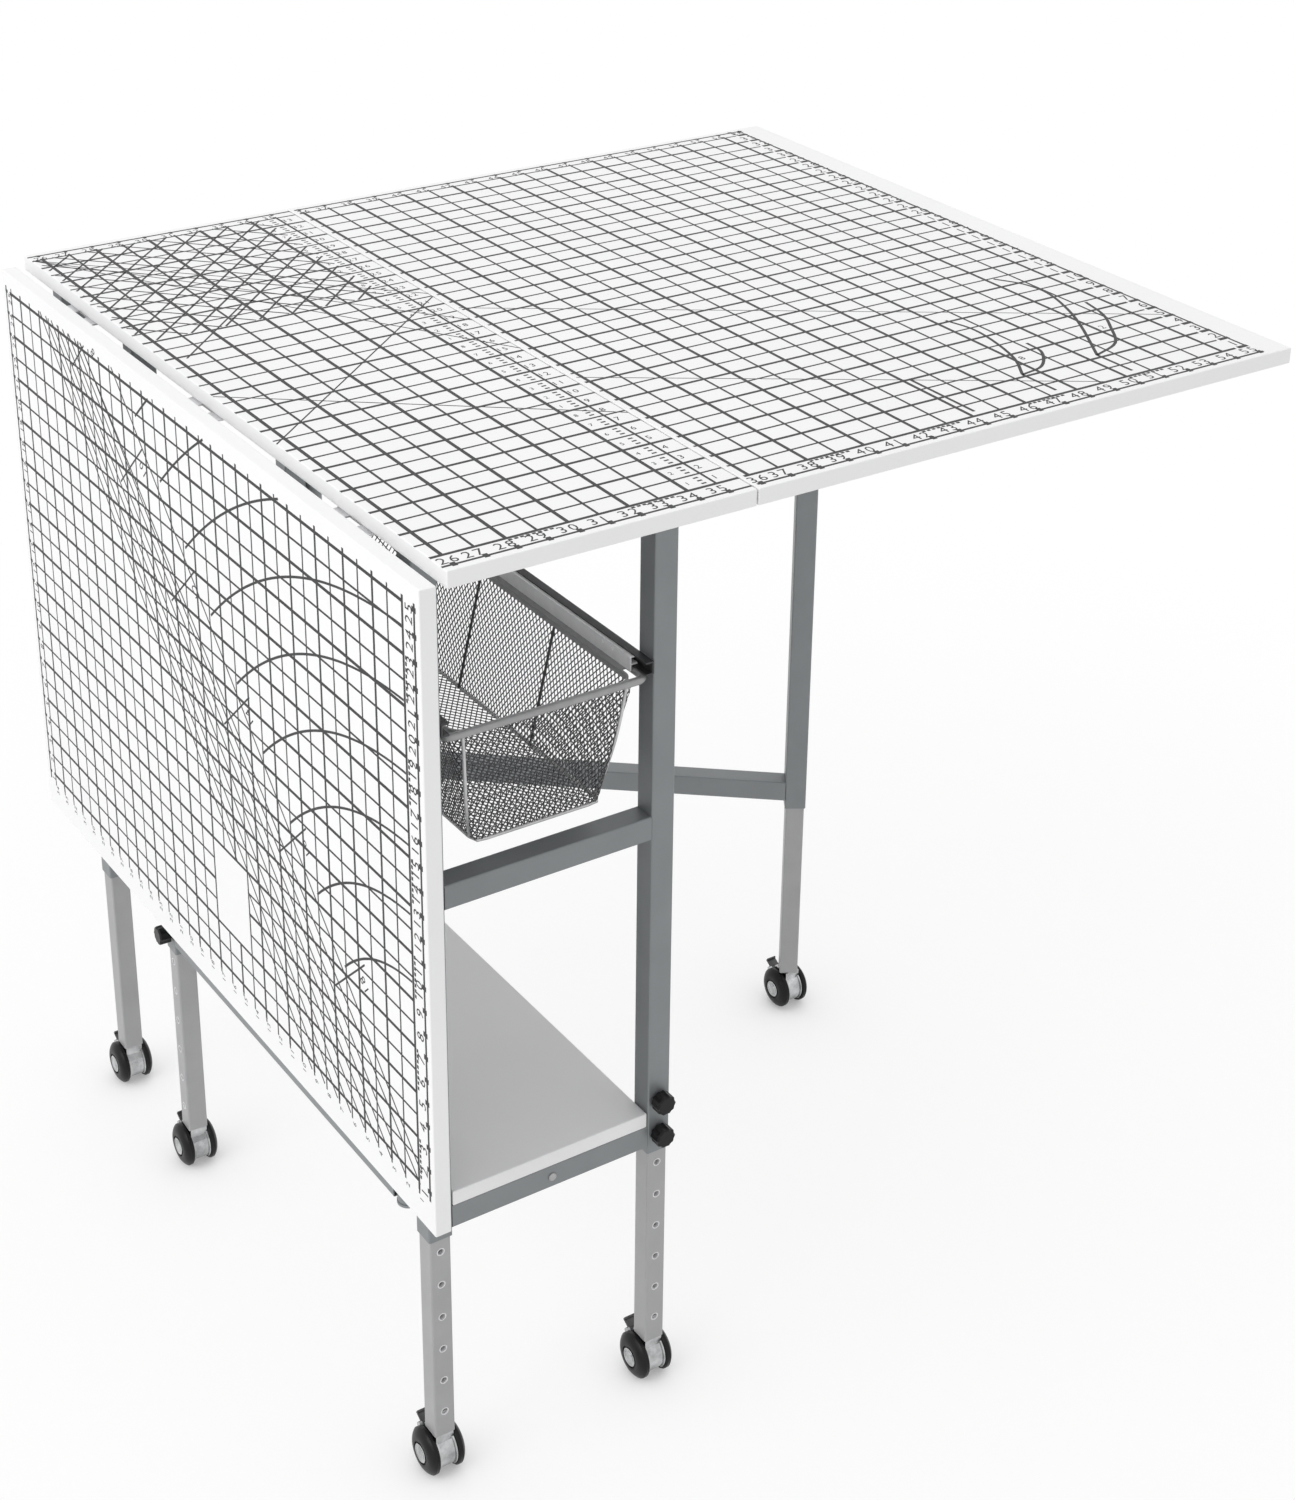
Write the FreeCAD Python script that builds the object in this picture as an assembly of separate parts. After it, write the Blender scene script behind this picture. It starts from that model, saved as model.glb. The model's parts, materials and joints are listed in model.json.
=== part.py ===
"""Folding sewing cutting table: a narrow wheeled frame that carries a fixed centre board, with a drop
leaf hinged to each side and a gate leg for each leaf. The right leaf is raised on its open gate, and the
left leaf hangs in front of its closed gate. All six legs telescope, and each ends in a twin-wheel caster.

Millimetres. X runs across the leaves, Y from front to back, Z up. The floor is Z = 0.
"""
import FreeCAD
import Part
import math
import os

os.makedirs("parts", exist_ok=True)

V = FreeCAD.Vector
X = V(1, 0, 0)
Y = V(0, 1, 0)
Z = V(0, 0, 1)

# ---- worktop -------------------------------------------------------------------------------------
table_height = 1022.0
board = 16.0                # thickness of all white boards
top_depth = 890.0           # front to back
centre_width = 300.0
leaf_width = 634.0
seam = 1.5                  # gap between the centre board and a raised leaf
board_edge = 1.2            # rounding of the boards' edges

# ---- butt hinges under the seams -----------------------------------------------------------------
hinge_inset = 6.8           # hinge axis, measured outward from a leaf's inner edge
hinge_drop = 1.2            # hinge axis below the boards; the barrels are half sunk in the leaf
barrel_radius = 2.4
groove_clear = 0.3          # between a barrel and the leaf's groove
hinge_arm_drop = 0.5        # knuckle arms below the board, so that a leaf can lift a few degrees
hinge_pin_radius = 1.1
hinge_plate = 1.4
hinge_reach = 32.0          # width of one hinge plate
hinge_length = 64.0
hinge_end_inset = 155.0      # from a board's end to the middle of the nearest hinge
knuckles = 3
knuckle_gap = 0.4

# ---- square tube frame ---------------------------------------------------------------------------
tube = 25.0
tube_wall = 1.2
tube_corner = 2.0
inner_tube = 22.0
post_inset = 29.0           # from the centre board's edge to the post centres
front_overhang = 104.0      # board edge to the front posts' centres
rear_overhang = 42.0
post_bottom = 287.0
rail_above_post_end = 8.0
mid_rail_z = 643.0          # underside
rail_screw_radius = 4.2
rail_screw_height = 1.6

# ---- telescoping legs ----------------------------------------------------------------------------
leg_bottom = 53.0
leg_top = 402.0
hole_pitch = 38.5
first_hole = 26.0           # above the leg's end
hole_radius = 3.5
leg_settings = 6            # steps that a leg can be pushed in

# ---- clamp knobs ---------------------------------------------------------------------------------
knob_radius = 10.8
knob_height = 12.5
knob_lobes = 10
knob_lobe_depth = 1.0
knob_chamfer = 1.5
knob_collar_radius = 6.5
knob_collar = 2.5
knob_shank_radius = 3.4
shank_clear = 0.1
knob_tip_gap = 0.3          # from the shank's tip to the inner tube

# ---- shelf and basket ----------------------------------------------------------------------------
shelf_side_gap = 1.0
rim_radius = 3.8            # round bar
rim_half = 102.5            # centre line of the side bars
rim_corner = 9.0
rim_front_proud = 9.0       # front bar's centre in front of the front posts' centres
rim_depth = 412.0
rim_z = 812.0
flange_sheet = 1.6          # flat strips between the side bars and the tub
flange_setback = 26.0       # from the front and rear bars
mouth_half = 93.0
mouth_band = 6.0            # height of the flat band round the tub's mouth
mouth_sheet = 2.0
mouth_overlap = 0.4         # band into the front and rear bars
tub_height = 124.0
tub_side_slope = 27.5       # how far a side wall leans in over its height
tub_end_slope = 14.0
tub_corner = 15.0
tub_wall = 1.4

# ---- basket runners ------------------------------------------------------------------------------
runner_height = 13.0
runner_depth = 8.2
runner_sheet = 1.5
runner_lift = 0.6           # above the rim
slide_gap = 0.4             # to the runner's flanges
slide_sheet = 1.6
slide_web_gap = 1.7         # from the runner's open side
slide_setback = 18.0        # from the front and rear bars
slide_back_gap = 2.0        # from the runner's back
slide_rivet_radius = 2.0
slide_rivet_height = 0.9
slide_rivet_places = (30.0, 46.0)

# ---- gates ---------------------------------------------------------------------------------------
gate_arm = 562.0            # hinge axis to leg centre
gate_axis_out = 25.8        # hinge axis beyond a post's centre
gate_open_angle = 31.9      # between the open gate and the X axis
gate_leg_in = 1.0           # closed gate leg's centre outside the posts' centres
gate_tube_radius = 10.5
gate_pin_radius = 6.0
gate_pin_clear = 0.1
gate_pin_length = 16.0
gate_upper_rail = 52.0      # upper rail's top below the leaf
gate_rail_lift = 2.5        # lower rail above the frame's bottom rails
gate_rise = 43.0            # climb of the lower rail from the outer post to the hinge
gate_tube_end = 2.0         # hinge tube beyond the rails
gate_leaf_gap = 0.3
bracket_sheet = 3.0
bracket_gap = 0.4
bracket_width = 22.0

# ---- casters -------------------------------------------------------------------------------------
wheel_radius = 24.5
wheel_width = 10.0
tread_width = 4.5           # flat part of the tread, from the wheel's inner face
tread_chamfer = 1.2
hub_radius = 10.5
hub_lip = 1.5               # ring of the wheel round the hub disc
hub_recess = 1.2
hood_width = 19.2
hood_gap = 0.6              # between the hood and a wheel
hood_radius = 20.5
hood_flange = 1.6           # raised flange along each edge of the hood
hood_open = 0.72            # how far down the hood reaches, as a share of its radius
caster_trail = 4.0
axle_radius = 3.0
axle_clear = 0.1
stem_radius = 5.0
stem_length = 26.0
stem_clear = 0.1
swivel_gap = 0.3
swivel_radius = 9.5
plug_lip = 2.5
brake_reach = 13.0          # from the brake's pin to its tip
brake_width = 12.0
brake_sheet = 2.0
brake_gap = 0.3
brake_angle = 30.0          # slope of the brake tab at rest
brake_barrel_radius = 2.6
brake_pin_radius = 1.2
brake_cheek_radius = 3.6

# ---- derived places ------------------------------------------------------------------------------
board_under = table_height - board
half_tube = tube / 2
half_depth = top_depth / 2
half_centre = centre_width / 2
post_x = half_centre - post_inset
front_y = front_overhang - half_depth
rear_y = half_depth - rear_overhang
post_inner = post_x - half_tube
rail_z = post_bottom + rail_above_post_end
shelf_z = rail_z + tube
hinge_x = half_centre + seam + hinge_inset
hinge_z = board_under - hinge_drop
hang_out = hinge_x + table_height - hinge_z       # outer face of a hanging leaf
raised_out = half_centre + seam + leaf_width      # outer edge of a raised leaf
middle_x = (hang_out - raised_out) / 2            # places the whole table about X = 0
gate_x = post_x + gate_axis_out
gate_closed_angle = 90 + math.degrees(math.asin((gate_axis_out - gate_leg_in) / gate_arm))
knob_holes = [leg_bottom + first_hole + hole_pitch * step for step in (leg_settings, leg_settings + 1)]
rim_front = front_y - rim_front_proud
rim_rear = rim_front + rim_depth
flange_top = rim_z + flange_sheet / 2
mouth_front = rim_front + rim_radius - mouth_overlap
mouth_rear = rim_rear - rim_radius + mouth_overlap
tub_top = flange_top - mouth_band
tub_bottom = flange_top - tub_height
runner_low = rim_z + rim_radius + runner_lift
runner_high = runner_low + runner_height
runner_inner = post_inner - runner_depth


def save(name, shapes):
    """Write one node, moved so that the whole table lies about X = 0."""
    solids = []
    for shape in shapes:
        moved = shape.copy()
        moved.translate(V(middle_x, 0, 0))
        solids.extend(moved.Solids)
    compound = solids[0] if len(solids) == 1 else Part.makeCompound(solids)
    compound.exportStep("parts/" + name + ".step")


def block(x0, x1, y0, y1, z0, z1):
    return Part.makeBox(x1 - x0, y1 - y0, z1 - z0, V(x0, y0, z0))


def turned(shape, angle, place):
    """A copy turned about Z and then set down at a place."""
    moved = shape.copy()
    moved.rotate(V(0, 0, 0), Z, angle)
    moved.translate(place)
    return moved


def half_turn(shape):
    """The same piece on the opposite side: half a turn about the frame's own middle."""
    return turned(shape, 180, V(0, front_y + rear_y, 0))


def rounded_section(width, height, radius):
    """A rounded rectangle about the origin in the XY plane, as a wire."""
    a = width / 2
    b = height / 2
    k = radius * math.sqrt(0.5)
    edges = []
    for sx, sy, start in ((1, 1, 0), (-1, 1, 90), (-1, -1, 180), (1, -1, 270)):
        centre = V(sx * (a - radius), sy * (b - radius), 0)
        first = centre + V(math.cos(math.radians(start)), math.sin(math.radians(start)), 0) * radius
        last = centre + V(math.cos(math.radians(start + 90)), math.sin(math.radians(start + 90)), 0) * radius
        edges.append(Part.Arc(first, centre + V(sx * k, sy * k, 0), last).toShape())
    joined = []
    for index, arc in enumerate(edges):
        following = edges[(index + 1) % len(edges)]
        joined.append(arc)
        joined.append(Part.makeLine(arc.Vertexes[-1].Point, following.Vertexes[0].Point))
    return Part.Wire(joined)


def square_tube(side, length):
    """A square tube standing on the origin."""
    outside = Part.Face(rounded_section(side, side, tube_corner)).extrude(Z * length)
    bore = side - 2 * tube_wall
    inside = Part.Face(rounded_section(bore, bore, tube_corner - tube_wall)).extrude(Z * length)
    return outside.cut(inside)


def rail_along(direction, start, length):
    """A square tube lying along X or Y."""
    shape = square_tube(tube, length)
    if direction == "x":
        shape.rotate(V(0, 0, 0), Y, 90)
    else:
        shape.rotate(V(0, 0, 0), X, -90)
    shape.translate(start)
    return shape


# ---- boards and hinges ---------------------------------------------------------------------------
def make_board(x0, x1, y0, y1, z0, round_all):
    shape = block(x0, x1, y0, y1, z0, z0 + board)
    edges = [edge for edge in shape.Edges if round_all or abs(edge.tangentAt(edge.FirstParameter).z) < 0.5]
    return shape.makeFillet(board_edge, edges)


def hinge_places():
    outer = half_depth - hinge_end_inset
    return [-outer, 0.0, outer]


def hinge_half(y, side):
    """One half of a butt hinge about the right seam: side 1 is on the leaf, -1 on the centre board."""
    start = y - hinge_length / 2
    step = hinge_length / knuckles
    inner = hinge_x if side > 0 else half_centre
    outer = hinge_x + side * hinge_reach
    shape = block(min(inner, outer), max(inner, outer), start, start + hinge_length,
                  board_under - hinge_plate, board_under)
    room = Part.makeCylinder(barrel_radius + knuckle_gap, hinge_length, V(hinge_x, start, hinge_z), Y)
    shape = shape.cut(room)
    arm_end = inner + side * hinge_plate * 2
    for index in range(knuckles):
        if (index % 2 == 1) != (side > 0):
            continue
        low = start + index * step + knuckle_gap / 2
        high = start + (index + 1) * step - knuckle_gap / 2
        barrel = Part.makeCylinder(barrel_radius, high - low, V(hinge_x, low, hinge_z), Y)
        arm_start = hinge_x if side < 0 else hinge_x + 2 * barrel_radius
        arm = block(min(arm_start, arm_end, hinge_x), max(arm_start, arm_end, hinge_x), low, high,
                    board_under - hinge_arm_drop - hinge_plate, board_under - hinge_arm_drop)
        shape = shape.fuse([barrel, arm])
    bore = hinge_pin_radius if side > 0 else hinge_pin_radius + axle_clear
    shape = shape.cut(Part.makeCylinder(bore, hinge_length, V(hinge_x, start, hinge_z), Y))
    return shape.removeSplitter()


def hinge_pins():
    return [Part.makeCylinder(hinge_pin_radius, hinge_length, V(hinge_x, y - hinge_length / 2, hinge_z), Y)
            for y in hinge_places()]


def lowered(shape):
    """A raised right leaf's piece, folded down and carried to the left side."""
    moved = shape.copy()
    moved.rotate(V(hinge_x, 0, hinge_z), Y, 90)
    moved.rotate(V(0, 0, 0), Z, 180)
    return moved


def barrel_grooves():
    """The grooves under the leaf's inner edge that the hinge barrels sink into."""
    radius = barrel_radius + groove_clear
    length = hinge_length + 2 * groove_clear
    return [Part.makeCylinder(radius, length, V(hinge_x, y - length / 2, hinge_z), Y) for y in hinge_places()]


right_leaf = make_board(half_centre + seam, raised_out, -half_depth, half_depth, board_under, True)
right_leaf = right_leaf.cut(barrel_grooves())
save("centre_board", [make_board(-half_centre, half_centre, -half_depth, half_depth, board_under, True)])
save("right_leaf_board", [right_leaf])
save("left_leaf_board", [lowered(right_leaf)])
leaf_halves = [hinge_half(y, 1) for y in hinge_places()] + hinge_pins()
save("right_leaf_hinges", leaf_halves)
save("left_leaf_hinges", [lowered(shape) for shape in leaf_halves])
centre_halves = [hinge_half(y, -1) for y in hinge_places()]
save("centre_board_hinges", centre_halves + [turned(shape, 180, V(0, 0, 0)) for shape in centre_halves])


# ---- frame ---------------------------------------------------------------------------------------
def shank_holes(side):
    """The two knob holes through the wall of an outer tube at the origin; side is the way they face."""
    radius = knob_shank_radius + shank_clear
    return [Part.makeCylinder(radius, half_tube + 1, V(0, 0, z), side) for z in knob_holes]


def outer_post(top, side):
    """An outer tube at the origin, with its knob holes facing one side."""
    shape = square_tube(tube, top - post_bottom)
    shape.translate(V(0, 0, post_bottom))
    return shape.cut(shank_holes(side))


posts = {
    "front_left_post": (-post_x, front_y, Y),
    "front_right_post": (post_x, front_y, -Y),
    "rear_left_post": (-post_x, rear_y, Y),
    "rear_right_post": (post_x, rear_y, -Y),
}
for name, (x, y, side) in posts.items():
    save(name, [turned(outer_post(board_under, side), 0, V(x, y, 0))])

rail_length = 2 * post_inner
for end, y in (("front", front_y), ("rear", rear_y)):
    for level, z in (("bottom", rail_z), ("mid", mid_rail_z), ("top", board_under - tube)):
        save(end + "_" + level + "_rail", [rail_along("x", V(-post_inner, y, z + half_tube), rail_length)])

shelf_half = post_inner - shelf_side_gap
save("shelf", [make_board(-shelf_half, shelf_half, front_y - half_tube, rear_y + half_tube, shelf_z, True)])


def rail_screw():
    """A pan-head screw in the front face of the bottom rail."""
    face_y = front_y - half_tube
    place = V(0, face_y, rail_z + half_tube)
    head = Part.makeCylinder(rail_screw_radius, rail_screw_height, place, -Y)
    outer_edges = [edge for edge in head.Edges if edge.CenterOfMass.y < face_y - 1]
    return head.makeFillet(rail_screw_height / 2, outer_edges)


save("shelf_rail_screws", [rail_screw(), half_turn(rail_screw())])


# ---- basket and its runners ----------------------------------------------------------------------
def runner():
    """The fixed C-channel on the inner faces of the right-hand posts, open towards the basket."""
    start = front_y - half_tube
    stop = rear_y + half_tube
    shape = block(runner_inner, post_inner, start, stop, runner_low, runner_high)
    hollow = block(runner_inner, post_inner - runner_sheet, start, stop,
                   runner_low + runner_sheet, runner_high - runner_sheet)
    return shape.cut(hollow)


def slide():
    """The sliding member on the basket's right flange, running inside the channel."""
    web = runner_inner - slide_web_gap - slide_sheet
    reach = post_inner - runner_sheet - slide_back_gap
    start = rim_front + slide_setback
    stop = rim_rear - slide_setback
    low = runner_low + runner_sheet + slide_gap
    high = runner_high - runner_sheet - slide_gap
    shape = block(web, web + slide_sheet, start, stop, flange_top, high)
    for z in (low, high - slide_sheet):
        shape = shape.fuse(block(web, reach, start, stop, z, z + slide_sheet))
    for along in slide_rivet_places:
        for y in (start + along, stop - along):
            place = V(web, y, (low + high) / 2)
            shape = shape.fuse(Part.makeCylinder(slide_rivet_radius, slide_rivet_height, place, -X))
    return shape.removeSplitter()


def mirrored_x(shape):
    return shape.mirror(V(0, 0, 0), X)


def level_loop(half_width, y0, y1, corner, z):
    """A rounded rectangle at one height."""
    wire = rounded_section(2 * half_width, y1 - y0, corner)
    wire.translate(V(0, (y0 + y1) / 2, z))
    return wire


def bar_ring(half_width, y0, y1, corner, z, radius):
    """A round bar bent into a rounded rectangle: four straight runs and four quarter bends."""
    pieces = []
    middle = (y0 + y1) / 2
    run_x = half_width - corner
    run_y = (y1 - y0) / 2 - corner
    for sign in (-1, 1):
        pieces.append(Part.makeCylinder(radius, 2 * run_x, V(-run_x, middle + sign * (run_y + corner), z), X))
        pieces.append(Part.makeCylinder(radius, 2 * run_y, V(sign * half_width, middle - run_y, z), Y))
    for sx, sy, start in ((1, 1, 0), (-1, 1, 90), (-1, -1, 180), (1, -1, 270)):
        bend = Part.makeTorus(corner, radius, V(0, 0, 0), Z, 0, 360, 90)
        bend.rotate(V(0, 0, 0), Z, start)
        bend.translate(V(sx * run_x, middle + sy * run_y, z))
        pieces.append(bend)
    return pieces[0].fuse(pieces[1:])


def basket_rim():
    """The bent bar, the two side flanges and the flat band round the tub's mouth."""
    ring = bar_ring(rim_half, rim_front, rim_rear, rim_corner, rim_z, rim_radius)
    pieces = []
    for sign in (-1, 1):
        pieces.append(block(min(sign * mouth_half, sign * rim_half), max(sign * mouth_half, sign * rim_half),
                            rim_front + flange_setback, rim_rear - flange_setback,
                            flange_top - flange_sheet, flange_top))
    outside = level_loop(mouth_half, mouth_front, mouth_rear, tub_corner, tub_top)
    inside = level_loop(mouth_half - mouth_sheet, mouth_front + mouth_sheet, mouth_rear - mouth_sheet,
                        tub_corner - mouth_sheet, tub_top)
    band = Part.Face(outside).extrude(Z * mouth_band).cut(Part.Face(inside).extrude(Z * mouth_band))
    return ring.fuse(pieces + [band]).removeSplitter()


def tub_section(z, shrink):
    """Outline of the tapered tub at one height, drawn in by a distance."""
    depth = (tub_top - z) / (tub_top - tub_bottom)
    side = tub_side_slope * depth + shrink
    end = tub_end_slope * depth + shrink
    return level_loop(mouth_half - side, mouth_front + end, mouth_rear - end, tub_corner - shrink, z)


def basket_tub():
    """The tapered tub below the mouth band, open at the top."""
    outside = Part.makeLoft([tub_section(tub_bottom, 0), tub_section(tub_top, 0)], True, True)
    sections = [tub_section(tub_bottom + tub_wall, tub_wall), tub_section(tub_top, tub_wall)]
    inside = Part.makeLoft(sections, True, True)
    return outside.cut(inside)


save("basket_runners", [runner(), mirrored_x(runner())])
save("basket_slides", [slide(), mirrored_x(slide())])
save("basket_rim", [basket_rim()])
save("basket_mesh", [basket_tub()])


# ---- gates ---------------------------------------------------------------------------------------
gate_top = board_under - gate_leaf_gap
gate_tube_low = rail_z + gate_rail_lift + gate_rise - gate_tube_end
gate_tube_high = gate_top - gate_upper_rail + rail_above_post_end
# underside at the outer post and climb of each rail
gate_levels = ((rail_z + gate_rail_lift, gate_rise), (gate_top - gate_upper_rail - tube, 0.0))


def gate_hinge_tube():
    """The round tube that turns on the gate's two pins, at the origin."""
    shape = Part.makeCylinder(gate_tube_radius, gate_tube_high - gate_tube_low, V(0, 0, gate_tube_low), Z)
    length = gate_tube_high - gate_tube_low
    bore = Part.makeCylinder(gate_pin_radius + gate_pin_clear, length, V(0, 0, gate_tube_low), Z)
    return shape.cut(bore)


def gate_rails():
    """The gate's two rails along +X, coped round the hinge tube; the lower one climbs towards the hinge."""
    length = gate_arm - half_tube
    rails = []
    for z, rise in gate_levels:
        rail = rail_along("x", V(-tube, 0, 0), length + 3 * tube)
        rail.rotate(V(0, 0, 0), Y, math.degrees(math.atan2(rise, length)))
        rail.translate(V(0, 0, z + half_tube + rise))
        low = z - tube
        high = z + rise + 2 * tube
        room = block(gate_tube_radius * 0.6, length, -tube, tube, low, high)
        saddle = Part.makeCylinder(gate_tube_radius, high - low, V(0, 0, low), Z)
        rails.append(rail.common(room).cut(saddle))
    return rails


def gate_post():
    """The gate's outer tube, with the knob holes on its +Y face, closed by a cap at the top."""
    shape = outer_post(gate_top, Y)
    bore = tube - 2 * tube_wall
    cap = Part.Face(rounded_section(bore, bore, tube_corner - tube_wall)).extrude(Z * bracket_sheet)
    cap.translate(V(0, 0, gate_top - bracket_sheet))
    return turned(shape.fuse(cap).removeSplitter(), 0, V(gate_arm, 0, 0))


def gate_bracket(z, pin_up):
    """A flat bracket on the outer face of the rear right post, with the pin that the hinge tube turns on."""
    face_x = post_x + half_tube
    half = bracket_width / 2
    tongue = block(face_x, gate_x, rear_y - half, rear_y + half, z, z + bracket_sheet)
    nose = Part.makeCylinder(half, bracket_sheet, V(gate_x, rear_y, z), Z)
    room = block(face_x, gate_x + half, rear_y - half, rear_y + half, z, z + bracket_sheet)
    plate = tongue.fuse(nose.common(room))
    reach = gate_pin_length
    start = z + bracket_sheet if pin_up else z - reach
    pin = Part.makeCylinder(gate_pin_radius, reach, V(gate_x, rear_y, start), Z)
    return plate.fuse(pin).removeSplitter()


def gate_brackets():
    low = gate_bracket(gate_tube_low - bracket_gap - bracket_sheet, True)
    high = gate_bracket(gate_tube_high + bracket_gap, False)
    return [low, high]


def open_gate(shape):
    """Carry a gate piece to the right-hand gate, open."""
    return turned(shape, -gate_open_angle, V(gate_x, rear_y, 0))


def closed_gate(shape):
    """Carry a gate piece to the left-hand gate, closed."""
    return half_turn(turned(shape, -gate_closed_angle, V(gate_x, rear_y, 0)))


save("gate_hinge_brackets", gate_brackets() + [half_turn(shape) for shape in gate_brackets()])
for name, carry in (("right", open_gate), ("left", closed_gate)):
    save(name + "_gate_hinge_tube", [carry(gate_hinge_tube())])
    save(name + "_gate_rails", [carry(shape) for shape in gate_rails()])
    save(name + "_gate_post", [carry(gate_post())])


# ---- telescoping legs, knobs and casters, made at the origin with the holes facing +Y -------------
def leg(through):
    """The inner tube with its row of setting holes on the +Y face, or right through to the -Y face."""
    shape = square_tube(inner_tube, leg_top - leg_bottom)
    shape.translate(V(0, 0, leg_bottom))
    count = int((leg_top - leg_bottom - first_hole) / hole_pitch) + 1
    start = -inner_tube if through else 0
    holes = [Part.makeCylinder(hole_radius, inner_tube - start,
                               V(0, start, leg_bottom + first_hole + hole_pitch * step), Y) for step in range(count)]
    return shape.cut(holes)


def leg_plug():
    """The plastic end plug that holds the caster's stem, as part of the leg."""
    bore = inner_tube - 2 * tube_wall
    body = Part.Face(rounded_section(bore, bore, tube_corner - tube_wall)).extrude(Z * stem_length)
    lip = Part.Face(rounded_section(inner_tube, inner_tube, tube_corner)).extrude(-Z * plug_lip)
    shape = body.fuse(lip)
    shape.translate(V(0, 0, leg_bottom))
    depth = stem_length + plug_lip
    socket = Part.makeCylinder(stem_radius + stem_clear, depth, V(0, 0, leg_bottom - plug_lip), Z)
    return shape.cut(socket).removeSplitter()


def fluted_outline(radius, y):
    """The knob's fluted outline across the Y axis, as a closed polygon."""
    points = []
    for index in range(2 * knob_lobes):
        angle = math.pi * index / knob_lobes
        reach = radius - knob_lobe_depth * (index % 2)
        points.append(V(reach * math.cos(angle), y, reach * math.sin(angle)))
    return Part.makePolygon(points + [points[0]])


def knob(z):
    """A fluted clamp knob on the outer tube's +Y face, with the shank that passes through the wall."""
    tip = inner_tube / 2 + knob_tip_gap
    low = half_tube + knob_collar
    high = low + knob_height - knob_chamfer
    head = Part.Face(fluted_outline(knob_radius, low)).extrude(Y * (high - low))
    outlines = [fluted_outline(knob_radius, high), fluted_outline(knob_radius - knob_chamfer, high + knob_chamfer)]
    end = Part.makeLoft(outlines, True, True)
    collar = Part.makeCylinder(knob_collar_radius, knob_collar, V(0, half_tube, 0), Y)
    shank = Part.makeCylinder(knob_shank_radius, half_tube - tip, V(0, tip, 0), Y)
    shape = head.fuse([end, collar, shank]).removeSplitter()
    shape.translate(V(0, 0, z))
    return shape


def caster_wheels():
    """Two wheels with domed outer sides on one axle: axle along X at the origin."""
    inner = hood_width / 2 + hood_gap
    outer = inner + wheel_width
    lip_radius = hub_radius + hub_lip
    crown = V(inner + tread_width, 0, wheel_radius)
    rim = V(outer, 0, lip_radius)
    bulge = V(crown.x + (rim.x - crown.x) * 0.74, 0, rim.z + (crown.z - rim.z) * 0.6)
    corners = [rim, V(outer - hub_recess, 0, lip_radius), V(outer - hub_recess, 0, hub_radius),
               V(outer, 0, hub_radius * 0.8), V(outer, 0, axle_radius), V(inner, 0, axle_radius),
               V(inner, 0, wheel_radius - tread_chamfer), V(inner + tread_chamfer, 0, wheel_radius), crown]
    edges = [Part.makeLine(a, b) for a, b in zip(corners, corners[1:])]
    edges.append(Part.Arc(crown, bulge, rim).toShape())
    right = Part.Face(Part.Wire(edges)).revolve(V(0, 0, 0), X, 360)
    left = right.mirror(V(0, 0, 0), X)
    axle = Part.makeCylinder(axle_radius, 2 * outer, V(-outer, 0, 0), X)
    return [right, left, axle]


def brake_pivot():
    """The brake's pin axis behind the hood, from the axle."""
    out = hood_radius + hood_flange + brake_gap + brake_barrel_radius
    angle = math.radians(brake_angle)
    return V(0, out * math.cos(angle), out * math.sin(angle))


def caster_hood():
    """The metal body between the wheels, with the swivel stem: axle along X at the origin, stem in front."""
    top = leg_bottom - plug_lip - swivel_gap - wheel_radius
    half = hood_width / 2
    back = hood_radius * 0.6
    body = Part.makeCylinder(hood_radius, hood_width, V(-half, 0, 0), X)
    for x in (-half, half - hood_flange):
        body = body.fuse(Part.makeCylinder(hood_radius + hood_flange, hood_flange, V(x, 0, 0), X))
    neck = block(-half, half, -caster_trail - swivel_radius, back, 0, top)
    slope = Part.makePolygon([V(-half, back, top), V(-half, back, top * 0.5), V(-half, swivel_radius, top),
                              V(-half, back, top)])
    neck = neck.cut(Part.Face(slope).extrude(X * hood_width))
    shape = body.fuse(neck)
    pivot = brake_pivot()
    for x in (-half, brake_width / 2 + brake_gap):
        width = half - brake_width / 2 - brake_gap
        shape = shape.fuse(Part.makeCylinder(brake_cheek_radius, width, V(x, pivot.y, pivot.z), X))
    below = hood_radius + hood_flange
    shape = shape.cut(block(-half, half, -below, below, -below, -hood_radius * hood_open))
    shape = shape.fuse(Part.makeCylinder(brake_pin_radius, hood_width, V(-half, pivot.y, pivot.z), X))
    shape = shape.cut(Part.makeCylinder(axle_radius + axle_clear, hood_width, V(-half, 0, 0), X))
    stem = Part.makeCylinder(stem_radius, stem_length, V(0, -caster_trail, top), Z)
    return shape.fuse(stem).removeSplitter()


def caster_brake():
    """The brake tab behind the hood, on its cross pin."""
    half = brake_width / 2
    pivot = brake_pivot()
    barrel = Part.makeCylinder(brake_barrel_radius, brake_width, V(-half, 0, 0), X)
    strip = block(-half, half, 0, brake_reach, -brake_sheet / 2, brake_sheet / 2)
    lip = block(-half, half, brake_reach - brake_sheet, brake_reach, -brake_sheet / 2, brake_sheet * 1.5)
    shape = barrel.fuse([strip, lip])
    shape = shape.cut(Part.makeCylinder(brake_pin_radius + axle_clear, brake_width, V(-half, 0, 0), X))
    shape = shape.removeSplitter()
    shape.rotate(V(0, 0, 0), X, brake_angle)
    shape.translate(pivot)
    return shape


def place_caster(shape, place):
    """Carry a caster piece to a leg, so that its stem comes to the leg's axis."""
    moved = shape.copy()
    moved.translate(place + V(0, caster_trail, wheel_radius))
    return moved


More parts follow.
